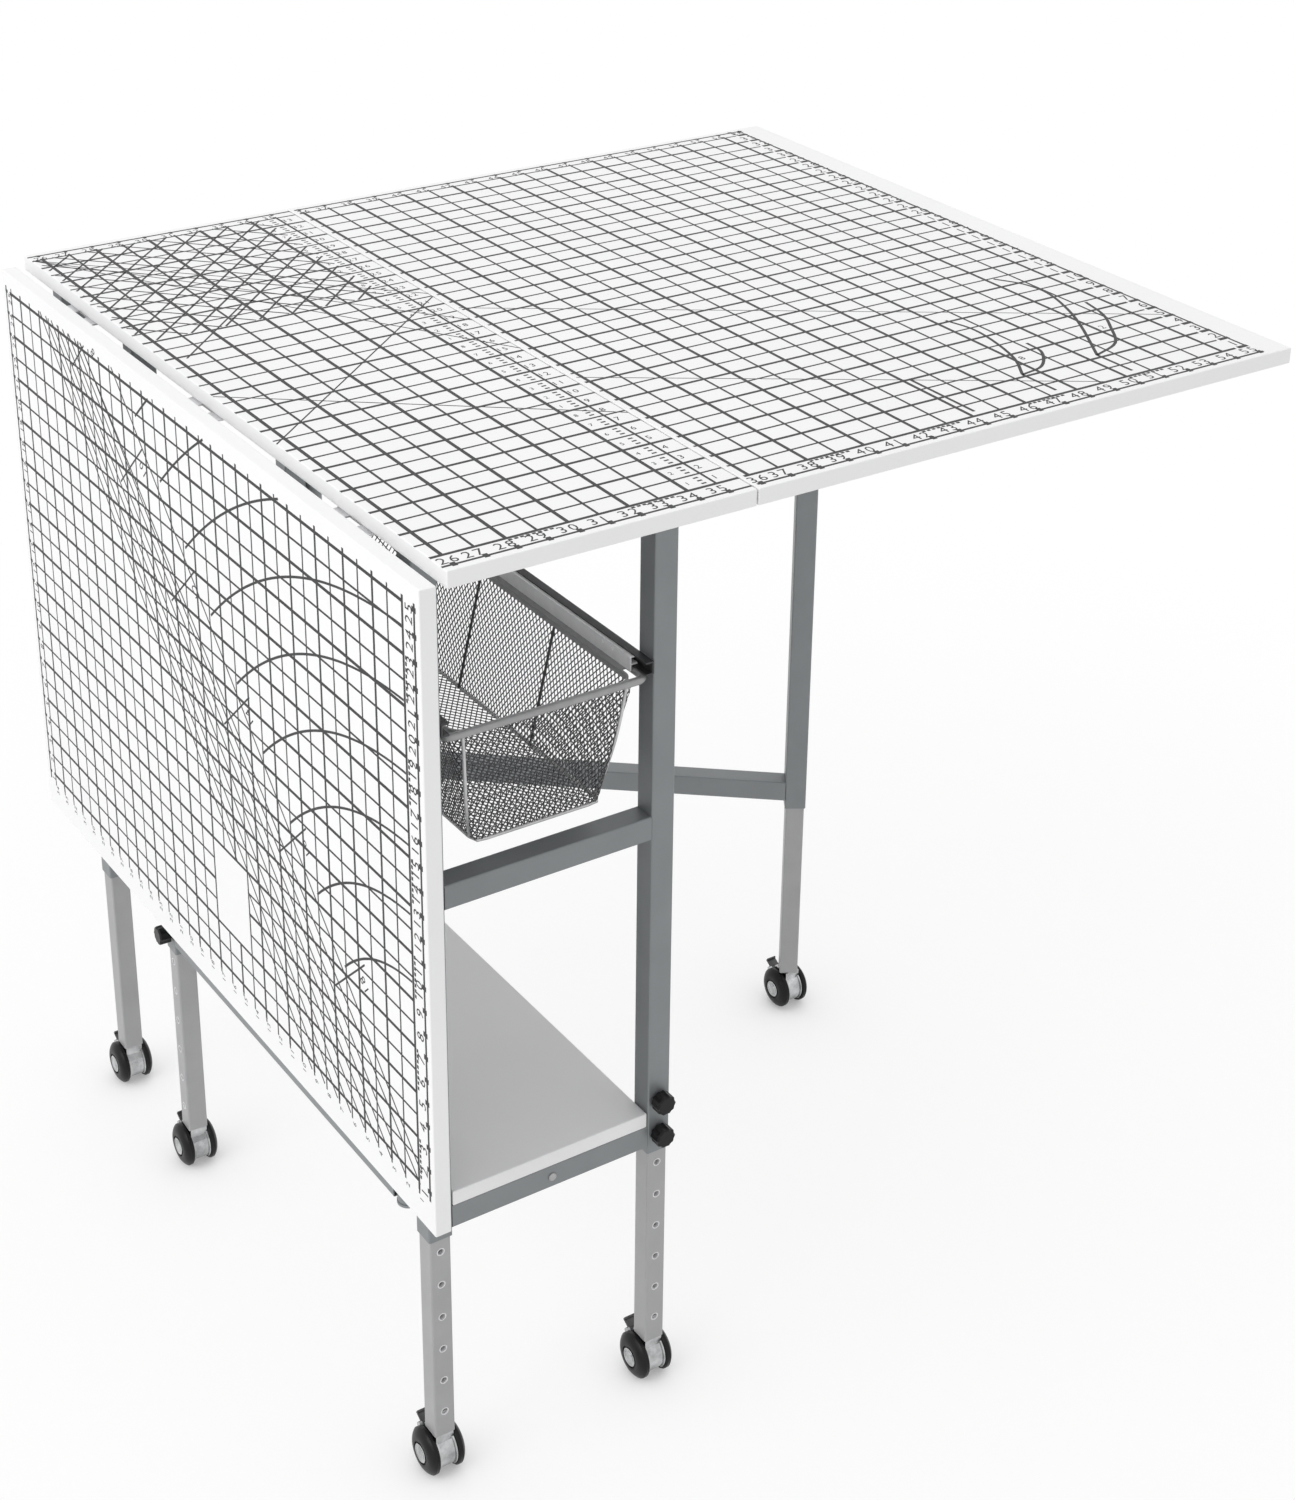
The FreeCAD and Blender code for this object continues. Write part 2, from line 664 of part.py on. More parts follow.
def leg_place(name):
    """Where a leg stands and which way its holes face, as an angle from +Y."""
    if name in posts_of_legs:
        x, y, side = posts[posts_of_legs[name]]
        return V(x, y, 0), 0.0 if side.y > 0 else 180.0
    if name == "right_gate":
        angle = math.radians(gate_open_angle)
        place = V(gate_x + gate_arm * math.cos(angle), rear_y - gate_arm * math.sin(angle), 0)
        return place, -gate_open_angle
    angle = math.radians(gate_closed_angle)
    place = V(gate_x + gate_arm * math.cos(angle), rear_y - gate_arm * math.sin(angle), 0)
    return half_turn(Part.Vertex(place)).Point, 180 - gate_closed_angle


posts_of_legs = {
    "front_left": "front_left_post",
    "front_right": "front_right_post",
    "rear_left": "rear_left_post",
    "rear_right": "rear_right_post",
}
drilled_through = ("front_left", "front_right")
leg_names = list(posts_of_legs) + ["right_gate", "left_gate"]
for name in leg_names:
    place, angle = leg_place(name)
    tube_piece = turned(leg(name in drilled_through), angle, place)
    save(name + "_leg", [tube_piece, turned(leg_plug(), angle, place)])
    save(name + "_knobs", [turned(knob(z), angle, place) for z in knob_holes])
    save(name + "_caster_wheels", [place_caster(shape, place) for shape in caster_wheels()])
    save(name + "_caster_body", [place_caster(caster_hood(), place)])
    save(name + "_caster_brake", [place_caster(caster_brake(), place)])
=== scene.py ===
import bpy
import bmesh
import json
import math
from itertools import groupby
from mathutils import Matrix, Vector

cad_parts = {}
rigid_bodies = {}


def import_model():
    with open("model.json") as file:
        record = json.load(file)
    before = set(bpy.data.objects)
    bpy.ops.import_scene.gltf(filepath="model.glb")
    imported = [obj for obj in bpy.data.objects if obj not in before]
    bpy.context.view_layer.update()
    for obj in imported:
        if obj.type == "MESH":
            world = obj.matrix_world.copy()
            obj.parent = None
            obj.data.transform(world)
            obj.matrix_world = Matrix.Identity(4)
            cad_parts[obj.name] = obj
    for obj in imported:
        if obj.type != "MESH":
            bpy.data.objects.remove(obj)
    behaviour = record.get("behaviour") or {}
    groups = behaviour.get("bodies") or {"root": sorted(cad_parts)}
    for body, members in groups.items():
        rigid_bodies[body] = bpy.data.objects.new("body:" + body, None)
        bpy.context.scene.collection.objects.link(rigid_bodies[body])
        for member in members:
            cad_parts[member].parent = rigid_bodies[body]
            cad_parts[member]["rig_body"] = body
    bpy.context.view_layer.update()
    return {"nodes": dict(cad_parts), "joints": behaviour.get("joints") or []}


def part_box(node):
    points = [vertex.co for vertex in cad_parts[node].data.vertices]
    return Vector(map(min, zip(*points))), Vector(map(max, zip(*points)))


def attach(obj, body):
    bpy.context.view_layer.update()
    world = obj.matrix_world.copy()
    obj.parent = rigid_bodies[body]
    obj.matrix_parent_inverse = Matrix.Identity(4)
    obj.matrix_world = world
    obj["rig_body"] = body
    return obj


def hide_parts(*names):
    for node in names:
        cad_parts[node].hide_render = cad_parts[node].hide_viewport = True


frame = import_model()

bl_info = {
    "name": "Folding cutting table",
    "version": (1, 0, 0),
    "blender": (4, 5, 0),
    "location": "3D View > Sidebar > Cutting table",
    "description": "Dresses the solids of a folding cutting table: laminate boards with a printed grid, "
                   "painted tubes, telescoping legs, casters, clamp knobs, hinges and a mesh basket",
    "category": "Object",
}

NODES = frame["nodes"]
LEGS = ("front_left", "front_right", "rear_left", "rear_right", "right_gate", "left_gate")
MM = 0.001
INCH = 0.0254
SHARP_ANGLE = math.radians(35)      # a smooth piece keeps its edges from this angle on
SQUARE = ((-1, -1), (1, -1), (1, 1), (-1, 1))


# ---------------------------------------------------------------- small helpers

def body_of(node):
    return NODES[node]["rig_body"]


def link(name, data):
    piece = bpy.data.objects.new(name, data)
    bpy.context.scene.collection.objects.link(piece)
    return piece


def piece_from(name, bm, material, body, smooth=True):
    mesh = bpy.data.meshes.new(name)
    bmesh.ops.recalc_face_normals(bm, faces=bm.faces)
    bm.to_mesh(mesh)
    bm.free()
    mesh.materials.append(material)
    for face in mesh.polygons:
        face.use_smooth = smooth
    if smooth:
        mesh.set_sharp_from_angle(angle=SHARP_ANGLE)
    piece = link(name, mesh)
    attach(piece, body)
    return piece


def dress(node, material):
    mesh = NODES[node].data
    if not mesh.materials:
        mesh.materials.append(material)
    for index in range(len(mesh.materials)):
        mesh.materials[index] = material


def span(node):
    low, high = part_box(node)
    return low, high, (low + high) / 2


def lathe(bm, profile, origin, axis, steps=40):
    """Turn (along, radius) points about an axis through origin; open profiles are fine."""
    axis = Vector(axis).normalized()
    side = axis.orthogonal().normalized()
    across = axis.cross(side)
    rings = []
    for along, radius in profile:
        if not radius:
            rings.append([bm.verts.new(Vector(origin) + axis * along)])
            continue
        ring = []
        for k in range(steps):
            a = 2 * math.pi * k / steps
            spoke = side * math.cos(a) + across * math.sin(a)
            ring.append(bm.verts.new(Vector(origin) + axis * along + spoke * radius))
        rings.append(ring)
    for first, second in zip(rings, rings[1:]):
        for k in range(steps):
            n = (k + 1) % steps
            if len(first) == 1 and len(second) > 1:
                bm.faces.new((first[0], second[k], second[n]))
            elif len(second) == 1 and len(first) > 1:
                bm.faces.new((first[k], second[0], first[n]))
            elif len(first) > 1:
                bm.faces.new((first[k], second[k], second[n], first[n]))


def skin(bm, rings, closed=False):
    """Join rings of as many points with four-sided faces, and cap the ends of an open run."""
    pairs = list(zip(rings, rings[1:]))
    if closed:
        pairs.append((rings[-1], rings[0]))
    for first, second in pairs:
        for k in range(len(first)):
            n = (k + 1) % len(first)
            bm.faces.new((first[k], second[k], second[n], first[n]))
    if not closed:
        bm.faces.new(rings[0])
        bm.faces.new(rings[-1][::-1])


def bar(bm, start, end, width, depth, normal):
    """A straight four-sided strand between two points, flat across a wall's normal."""
    start = Vector(start)
    end = Vector(end)
    along = (end - start).normalized()
    normal = Vector(normal).normalized()
    across = along.cross(normal).normalized()
    skin(bm, [[bm.verts.new(point + across * (sx * width / 2) + normal * (sy * depth / 2))
               for sx, sy in SQUARE] for point in (start, end)])


def wire(bm, points, radius, sides=10, closed=False):
    """A round wire along points."""
    points = [Vector(p) for p in points]
    count = len(points)
    turns = [2 * math.pi * s / sides for s in range(sides)]
    rings = []
    side = None
    for k, point in enumerate(points):
        before = points[(k - 1) % count] if closed or k > 0 else point
        after = points[(k + 1) % count] if closed or k < count - 1 else point
        along = (after - before).normalized()
        side = along.orthogonal() if side is None else side - along * side.dot(along)
        side.normalize()
        across = along.cross(side)
        rings.append([bm.verts.new(point + (side * math.cos(a) + across * math.sin(a)) * radius)
                      for a in turns])
    skin(bm, rings, closed)


# ---------------------------------------------------------------- finishes

GLOSS_SPREAD = 0.06         # how far the roughness varies to either side
GRAIN_RELIEF = 0.0004       # height of the grain at full strength


def new_material(name):
    material = bpy.data.materials.new(name)
    material.use_nodes = True
    tree = material.node_tree
    shader = tree.nodes["Principled BSDF"]
    return material, tree, shader


def add_noise(tree, scale, detail):
    coords = tree.nodes.new("ShaderNodeTexCoord")
    noise = tree.nodes.new("ShaderNodeTexNoise")
    noise.inputs["Scale"].default_value = scale
    noise.inputs["Detail"].default_value = detail
    tree.links.new(coords.outputs["Object"], noise.inputs["Vector"])
    return noise.outputs["Fac"]


def add_ramp(tree, source, low, high):
    """Blend from one colour to another over the middle of a noise's range."""
    ramp = tree.nodes.new("ShaderNodeValToRGB")
    for element, position, color in zip(ramp.color_ramp.elements, (0.3, 0.7), (low, high)):
        element.position = position
        element.color = color
    tree.links.new(source, ramp.inputs["Fac"])
    return ramp.outputs["Color"]


def add_range(tree, source, low, high, start=0.0, stop=1.0, kind="LINEAR"):
    """Map a value between start and stop to one between low and high."""
    node = tree.nodes.new("ShaderNodeMapRange")
    node.interpolation_type = kind
    for socket, value in (("From Min", start), ("From Max", stop), ("To Min", low), ("To Max", high)):
        node.inputs[socket].default_value = value
    tree.links.new(source, node.inputs["Value"])
    return node.outputs["Result"]


def add_math(tree, operation, first, second):
    node = tree.nodes.new("ShaderNodeMath")
    node.operation = operation
    tree.links.new(first, node.inputs[0])
    tree.links.new(second, node.inputs[1])
    return node.outputs["Value"]


def add_bump(tree, shader, source, strength, distance):
    bump = tree.nodes.new("ShaderNodeBump")
    bump.inputs["Strength"].default_value = strength
    bump.inputs["Distance"].default_value = distance
    tree.links.new(source, bump.inputs["Height"])
    tree.links.new(bump.outputs["Normal"], shader.inputs["Normal"])


def shade(color, factor):
    return (color[0] * factor, color[1] * factor, color[2] * factor, 1.0)


def surface(name, color, rough, *, spread, grain, grain_depth, mottle, metallic=0.0, specular=0.5):
    """A finish with slight colour and gloss variation and a fine grain of its own."""
    material, tree, shader = new_material(name)
    shader.inputs["Metallic"].default_value = metallic
    shader.inputs["Specular IOR Level"].default_value = specular
    cloud = add_noise(tree, mottle, 5.0)
    tint = add_ramp(tree, cloud, shade(color, 1 - spread), shade(color, 1 + spread))
    tree.links.new(tint, shader.inputs["Base Color"])
    fine = add_noise(tree, grain, 3.0)
    gloss = add_range(tree, fine, max(rough - GLOSS_SPREAD, 0.02), min(rough + GLOSS_SPREAD, 1.0))
    tree.links.new(gloss, shader.inputs["Roughness"])
    add_bump(tree, shader, fine, grain_depth, GRAIN_RELIEF)
    return material


# ---------------------------------------------------------------- settings

COLOR = {"subtype": "COLOR", "size": 3, "min": 0, "max": 1}


class TableBoardSettings(bpy.types.PropertyGroup):
    laminate: bpy.props.FloatVectorProperty(
        name="Laminate", description="Colour of the white boards",
        default=(0.87, 0.87, 0.873), **COLOR)
    shelf: bpy.props.FloatVectorProperty(
        name="Shelf", description="Colour of the low shelf",
        default=(0.84, 0.84, 0.845), **COLOR)
    ink: bpy.props.FloatVectorProperty(
        name="Ink", description="Colour of the printed grid",
        default=(0.012, 0.012, 0.013), **COLOR)
    line_width: bpy.props.FloatProperty(
        name="Grid line", description="Width of a printed grid line", default=0.0023, unit="LENGTH")
    bold_width: bpy.props.FloatProperty(
        name="Bold line", description="Width of every other grid line", default=0.0034, unit="LENGTH")
    arc_width: bpy.props.FloatProperty(
        name="Arc", description="Width of a printed arc", default=0.0024, unit="LENGTH")
    pitch: bpy.props.FloatProperty(
        name="Pitch", description="From one line of the grid to the next along the depth", default=INCH,
        unit="LENGTH")
    lift: bpy.props.FloatProperty(
        name="Ink height", description="Height of the print above the laminate", default=0.00006,
        unit="LENGTH")
    margin: bpy.props.FloatProperty(
        name="Margin", description="From a board's front edge to the first grid line", default=0.028,
        unit="LENGTH")
    digit: bpy.props.FloatProperty(
        name="Digits", description="Height of the printed numbers", default=0.0125, unit="LENGTH")


class TableMetalSettings(bpy.types.PropertyGroup):
    frame_paint: bpy.props.FloatVectorProperty(
        name="Frame", description="Colour of the powder-coated frame",
        default=(0.236, 0.25, 0.257), **COLOR)
    leg_paint: bpy.props.FloatVectorProperty(
        name="Inner legs", description="Colour of the silver inner legs",
        default=(0.385, 0.385, 0.39), **COLOR)
    leg_half: bpy.props.FloatProperty(
        name="Inner leg half width", description="From an inner leg's middle to its face", default=0.011,
        unit="LENGTH")
    hole: bpy.props.FloatProperty(
        name="Hole radius", description="Radius of a setting hole", default=0.0035, unit="LENGTH")
    hole_pitch: bpy.props.FloatProperty(
        name="Hole pitch", description="From one setting hole to the next", default=0.0385, unit="LENGTH")
    first_hole: bpy.props.FloatProperty(
        name="First hole", description="Height of the lowest setting hole", default=0.079, unit="LENGTH")
    screw: bpy.props.FloatVectorProperty(
        name="Screws", description="Colour of the screw heads",
        default=(0.4, 0.4, 0.405), **COLOR)
    plating: bpy.props.FloatVectorProperty(
        name="Plating", description="Colour of bright plated steel",
        default=(0.72, 0.72, 0.73), **COLOR)
    # Casters' steel: the base is kept dark as a painted reflection, standing in for the dark surroundings
    # that real chrome mirrors
    chrome: bpy.props.FloatVectorProperty(
        name="Chrome", description="Colour of the casters' bright steel",
        default=(0.46, 0.465, 0.47), **COLOR)
    brake_steel: bpy.props.FloatVectorProperty(
        name="Brake steel", description="Colour of the brake tabs",
        default=(0.09, 0.09, 0.092), **COLOR)
    black_plastic: bpy.props.FloatVectorProperty(
        name="Black plastic", description="Colour of the knobs and tyres",
        default=(0.01, 0.01, 0.011), **COLOR)


class TableBasketSettings(bpy.types.PropertyGroup):
    # Rim: a grey coating, made lighter as painted light to make up for the shade of the centre board above
    # it
    rim: bpy.props.FloatVectorProperty(
        name="Rim", description="Colour of the basket's rim",
        default=(0.36, 0.36, 0.365), **COLOR)
    edge: bpy.props.FloatVectorProperty(
        name="Edge wires", description="Colour of the wires along the tub's edges",
        default=(0.6, 0.6, 0.605), **COLOR)
    # Slides: the plated colour raised to near white as painted light, standing in for the sheen and the
    # light that the board above shades off them
    slide: bpy.props.FloatVectorProperty(
        name="Slides", description="Colour of the sliding members",
        default=(0.92, 0.92, 0.92), **COLOR)
    strands: bpy.props.FloatVectorProperty(
        name="Mesh", description="Colour of the basket's mesh",
        default=(0.075, 0.076, 0.08), **COLOR)
    runner: bpy.props.FloatVectorProperty(
        name="Runners", description="Colour of the fixed channels",
        default=(0.05, 0.05, 0.053), **COLOR)
    mesh_pitch: bpy.props.FloatProperty(
        name="Mesh pitch", description="Width of one diamond of the mesh", default=0.0062, unit="LENGTH")
    mesh_height: bpy.props.FloatProperty(
        name="Mesh height", description="Height of one diamond of the mesh", default=0.0088, unit="LENGTH")
    strand: bpy.props.FloatProperty(
        name="Strand", description="Width of one strand", default=0.001, unit="LENGTH")
    corner_wire: bpy.props.FloatProperty(
        name="Corner wire", description="Radius of the wires along the tub's edges", default=0.0017,
        unit="LENGTH")
    side_slope: bpy.props.FloatProperty(
        name="Side slope", description="How far a side wall leans in over its height", default=0.0275,
        unit="LENGTH")
    end_slope: bpy.props.FloatProperty(
        name="End slope", description="How far an end wall leans in over its height", default=0.014,
        unit="LENGTH")
    corner: bpy.props.FloatProperty(
        name="Corner", description="Radius of the tub's upright corners", default=0.007, unit="LENGTH")


class TableStudioSettings(bpy.types.PropertyGroup):
    key: bpy.props.FloatProperty(
        name="Key", description="Power of the large lamp on the left", default=108.0, unit="POWER")
    top: bpy.props.FloatProperty(
        name="Top", description="Power of the lamp above", default=49.0, unit="POWER")
    sky: bpy.props.FloatProperty(
        name="Sky", description="Strength of the even light", default=0.74)
    floor: bpy.props.FloatVectorProperty(
        name="Floor", description="Colour of the floor",
        default=(0.95, 0.95, 0.95), **COLOR)


# ---------------------------------------------------------------- stage and camera

CAMERA_PLACE = (-1054.8458, -2085.4972, 1925.5098)      # mm, from the middle of the centre board's width
CAMERA_AZIMUTH = 0.6034             # radians, from +Y towards +X
CAMERA_ELEVATION = 0.4215           # radians, looking down
CAMERA_ROLL = 0.0186                # radians
PICTURE_WIDTH = 1295                # pixels
PICTURE_HEIGHT = 1500
FOCAL_LENGTH = 2639.7024            # pixels
AXIS_U, AXIS_V = 685.0077, 497.1178     # pixel that the camera's axis goes through
SENSOR_WIDTH = 36.0                 # mm

LAMP_SIZE = 3.6
LAMPS = (                           # name, place, target and the setting that holds its power
    ("key_lamp", (-5.0, -0.6, 3.6), (-0.1, 0.0, 0.7), "key"),
    ("top_lamp", (0.8, 0.5, 6.0), (0.1, 0.0, 0.8), "top"),
)

FLOOR_HALF = 9.0                    # from the floor's middle to its edge
GLOW_START, GLOW_STOP = 0.75, 1.9   # distances from the table's middle between which the floor turns white
GLOW_NEAR = 0.82                    # share of white near the table
CONTACT_REACH = 0.16                # spread of the soft shadow under a caster
CONTACT_START = 0.45                # openness of the floor at which that shadow is deepest
CONTACT_SHARE = 0.3                 # share of white that is left there


class TABLE_OT_studio(bpy.types.Operator):
    """Set up the camera, the pale floor and the soft light"""
    bl_idname = "cutting_table.studio"
    bl_label = "Studio"

    def execute(self, context):
        look = context.scene.table_studio
        self.make_camera(context.scene)
        self.make_floor(look)
        self.make_world(context.scene, look)
        for name, place, target, power in LAMPS:
            self.make_lamp(name, Vector(place), Vector(target), getattr(look, power))
        context.scene.view_settings.view_transform = "Standard"
        return {"FINISHED"}

    def make_camera(self, scene):
        data = bpy.data.cameras.new("camera")
        data.sensor_fit = "HORIZONTAL"
        data.sensor_width = SENSOR_WIDTH
        data.lens = FOCAL_LENGTH / PICTURE_WIDTH * SENSOR_WIDTH
        data.shift_x = (PICTURE_WIDTH / 2 - AXIS_U) / PICTURE_WIDTH
        data.shift_y = (AXIS_V - PICTURE_HEIGHT / 2) / PICTURE_WIDTH
        data.clip_start = 0.05
        data.clip_end = 60
        level = math.cos(CAMERA_ELEVATION)
        ahead = Vector((math.sin(CAMERA_AZIMUTH) * level, math.cos(CAMERA_AZIMUTH) * level,
                        -math.sin(CAMERA_ELEVATION)))
        right = Vector((math.cos(CAMERA_AZIMUTH), -math.sin(CAMERA_AZIMUTH), 0))
        up = right.cross(ahead)
        turned_right = right * math.cos(CAMERA_ROLL) + up * math.sin(CAMERA_ROLL)
        turned_up = up * math.cos(CAMERA_ROLL) - right * math.sin(CAMERA_ROLL)
        matrix = Matrix((turned_right, turned_up, -ahead)).transposed().to_4x4()
        x, y, z = CAMERA_PLACE
        matrix.translation = Vector((x * MM + span("centre_board")[2].x, y * MM, z * MM))
        camera = link("camera", data)
        camera.matrix_world = matrix
        scene.camera = camera

    def make_floor(self, look):
        """A pale floor that turns plain white away from the table, and keeps the table's shadow."""
        bm = bmesh.new()
        bm.faces.new([bm.verts.new((x * FLOOR_HALF, y * FLOOR_HALF, 0)) for x, y in SQUARE])
        mesh = bpy.data.meshes.new("studio_floor")
        bm.to_mesh(mesh)
        bm.free()
        floor = link("studio_floor", mesh)
        material, tree, shader = new_material("floor_paper")
        shader.inputs["Base Color"].default_value = (*look.floor, 1)
        shader.inputs["Roughness"].default_value = 0.9
        shader.inputs["Specular IOR Level"].default_value = 0.1
        glow = tree.nodes.new("ShaderNodeEmission")
        glow.inputs["Strength"].default_value = 1.0
        place = tree.nodes.new("ShaderNodeTexCoord")
        away = tree.nodes.new("ShaderNodeVectorMath")
        away.operation = "LENGTH"
        tree.links.new(place.outputs["Object"], away.inputs[0])
        far = add_range(tree, away.outputs["Value"], GLOW_NEAR, 1.0, GLOW_START, GLOW_STOP, "SMOOTHSTEP")
        near = tree.nodes.new("ShaderNodeAmbientOcclusion")
        near.samples = 8
        near.inputs["Distance"].default_value = CONTACT_REACH
        contact = add_range(tree, near.outputs["AO"], CONTACT_SHARE, 1.0, CONTACT_START)
        share = add_math(tree, "MULTIPLY", far, contact)
        share = add_math(tree, "MULTIPLY", self.seen_rays(tree), share)
        self.mix_in(tree, share, shader.outputs["BSDF"], glow.outputs["Emission"], "Material Output")
        mesh.materials.append(material)

    def seen_rays(self, tree):
        """Camera, glossy and transmission rays: the ones that show the background."""
        path = tree.nodes.new("ShaderNodeLightPath")
        seen = path.outputs["Is Camera Ray"]
        for kind in ("Is Glossy Ray", "Is Transmission Ray"):
            seen = add_math(tree, "MAXIMUM", seen, path.outputs[kind])
        return seen

    def mix_in(self, tree, share, plain, white, output):
        """Show the white one by a share, and the plain one for the rest."""
        mix = tree.nodes.new("ShaderNodeMixShader")
        tree.links.new(share, mix.inputs["Fac"])
        tree.links.new(plain, mix.inputs[1])
        tree.links.new(white, mix.inputs[2])
        tree.links.new(mix.outputs["Shader"], tree.nodes[output].inputs["Surface"])

    def make_world(self, scene, look):
        world = bpy.data.worlds.new("studio_world")
        scene.world = world
        world.use_nodes = True
        tree = world.node_tree
        plain = tree.nodes["Background"]
        white = tree.nodes.new("ShaderNodeBackground")
        for node, strength in ((plain, look.sky), (white, 1.0)):
            node.inputs["Color"].default_value = (1, 1, 1, 1)
            node.inputs["Strength"].default_value = strength
        self.mix_in(tree, self.seen_rays(tree), plain.outputs["Background"], white.outputs["Background"],
                    "World Output")

    def make_lamp(self, name, place, target, power):
        data = bpy.data.lights.new(name, "AREA")
        data.size = LAMP_SIZE
        data.energy = power
        lamp = link(name, data)
        lamp.location = place
        lamp.rotation_euler = (target - place).to_track_quat("-Z", "Y").to_euler()


# ---------------------------------------------------------------- boards and their print

# Layers of the print, in ink heights, so that strips that cross never share a plane
ROWS, DIAGONALS, EDGES, COLUMNS, MARKS, CROSSES, ARCS, FIELD = 1.0, 1.1, 1.2, 1.3, 1.4, 1.5, 1.6, 2.2

EM = 1.35                           # the font's em, in heights of a printed number
DIGIT_MIDDLE = (0.28, 0.35)         # a digit's middle, in ems
DIGIT_STEP = 0.62                   # from one digit to the next, in ems

LEVEL_WEIGHT = 1.12                 # line width on the two level boards, beside the hanging one
FRONT_RULE, BACK_RULE = 0.3, 0.36   # the rules along the front and back edges, in margins
TICK = 0.004                        # length of a small tick
LABEL_ASIDE = 0.0065                # a column's number stands this far from its line
DASHES, DASH_STEP = 8, 0.0056       # short rows of dashes in front of the first row
DASH_LENGTH, DASH_DROP = 0.0036, 0.0038
BIAS_STEP = 0.036                   # from one bias line to the next, along the depth
DIAGONAL_END = 0.022                # where diagonals stop, from the back edge
SKIRT_START, SKIRT_END = 0.0145, 0.6    # print of the hanging leaf, from its top
SKIRT_NUMBERS = 0.608
FIELD_START, FIELD_STOP = 0.449, 0.5412     # blank panel on the hanging leaf, from its top
FIELD_MIDDLE, FIELD_WIDTH = 0.3963, 0.0735  # and from its front edge

# Lens-shaped guides of the right leaf: points of each arc, from the seam and from the front edge
LENSES = (
    ((0.3638, 0.0833), (0.394, 0.091), (0.4185, 0.1189), (0.4222, 0.1451)),
    ((0.3638, 0.0833), (0.385, 0.120), (0.398, 0.165), (0.4022, 0.2025), (0.395, 0.235)),
    ((0.4588, 0.0847), (0.496, 0.100), (0.5225, 0.1353), (0.541, 0.167), (0.5503, 0.2027)),
    ((0.4588, 0.0847), (0.498, 0.1504), (0.5208, 0.197), (0.5352, 0.2432), (0.532, 0.277), (0.5159, 0.305)),
)
LENS_NUMBERS = (("8", 0.392, 0.117), ("12", 0.512, 0.140))
LENS_STEMS = ((0.2655, 0.128), (0.3638, 0.0833), (0.4588, 0.0847))
STEM_FOOT, STEM_LEAN = 0.037, 0.0009
LENS_WEIGHT = 1.35


def white_laminate(name, color, rough=0.34, spread=0.012):
    """Board laminate: nearly even, with a very fine grain."""
    return surface(name, color, rough, spread=spread, grain=900, grain_depth=0.03, mottle=6)


class TABLE_OT_boards(bpy.types.Operator):
    """Give the worktop boards and the shelf their white laminate"""
    bl_idname = "cutting_table.boards"
    bl_label = "Boards"

    def execute(self, context):
        look = context.scene.table_boards
        laminate = white_laminate("white_laminate", look.laminate)
        for node in ("centre_board", "left_leaf_board", "right_leaf_board"):
            dress(node, laminate)
        dress("shelf", white_laminate("shelf_laminate", look.shelf, 0.36, 0.015))
        return {"FINISHED"}


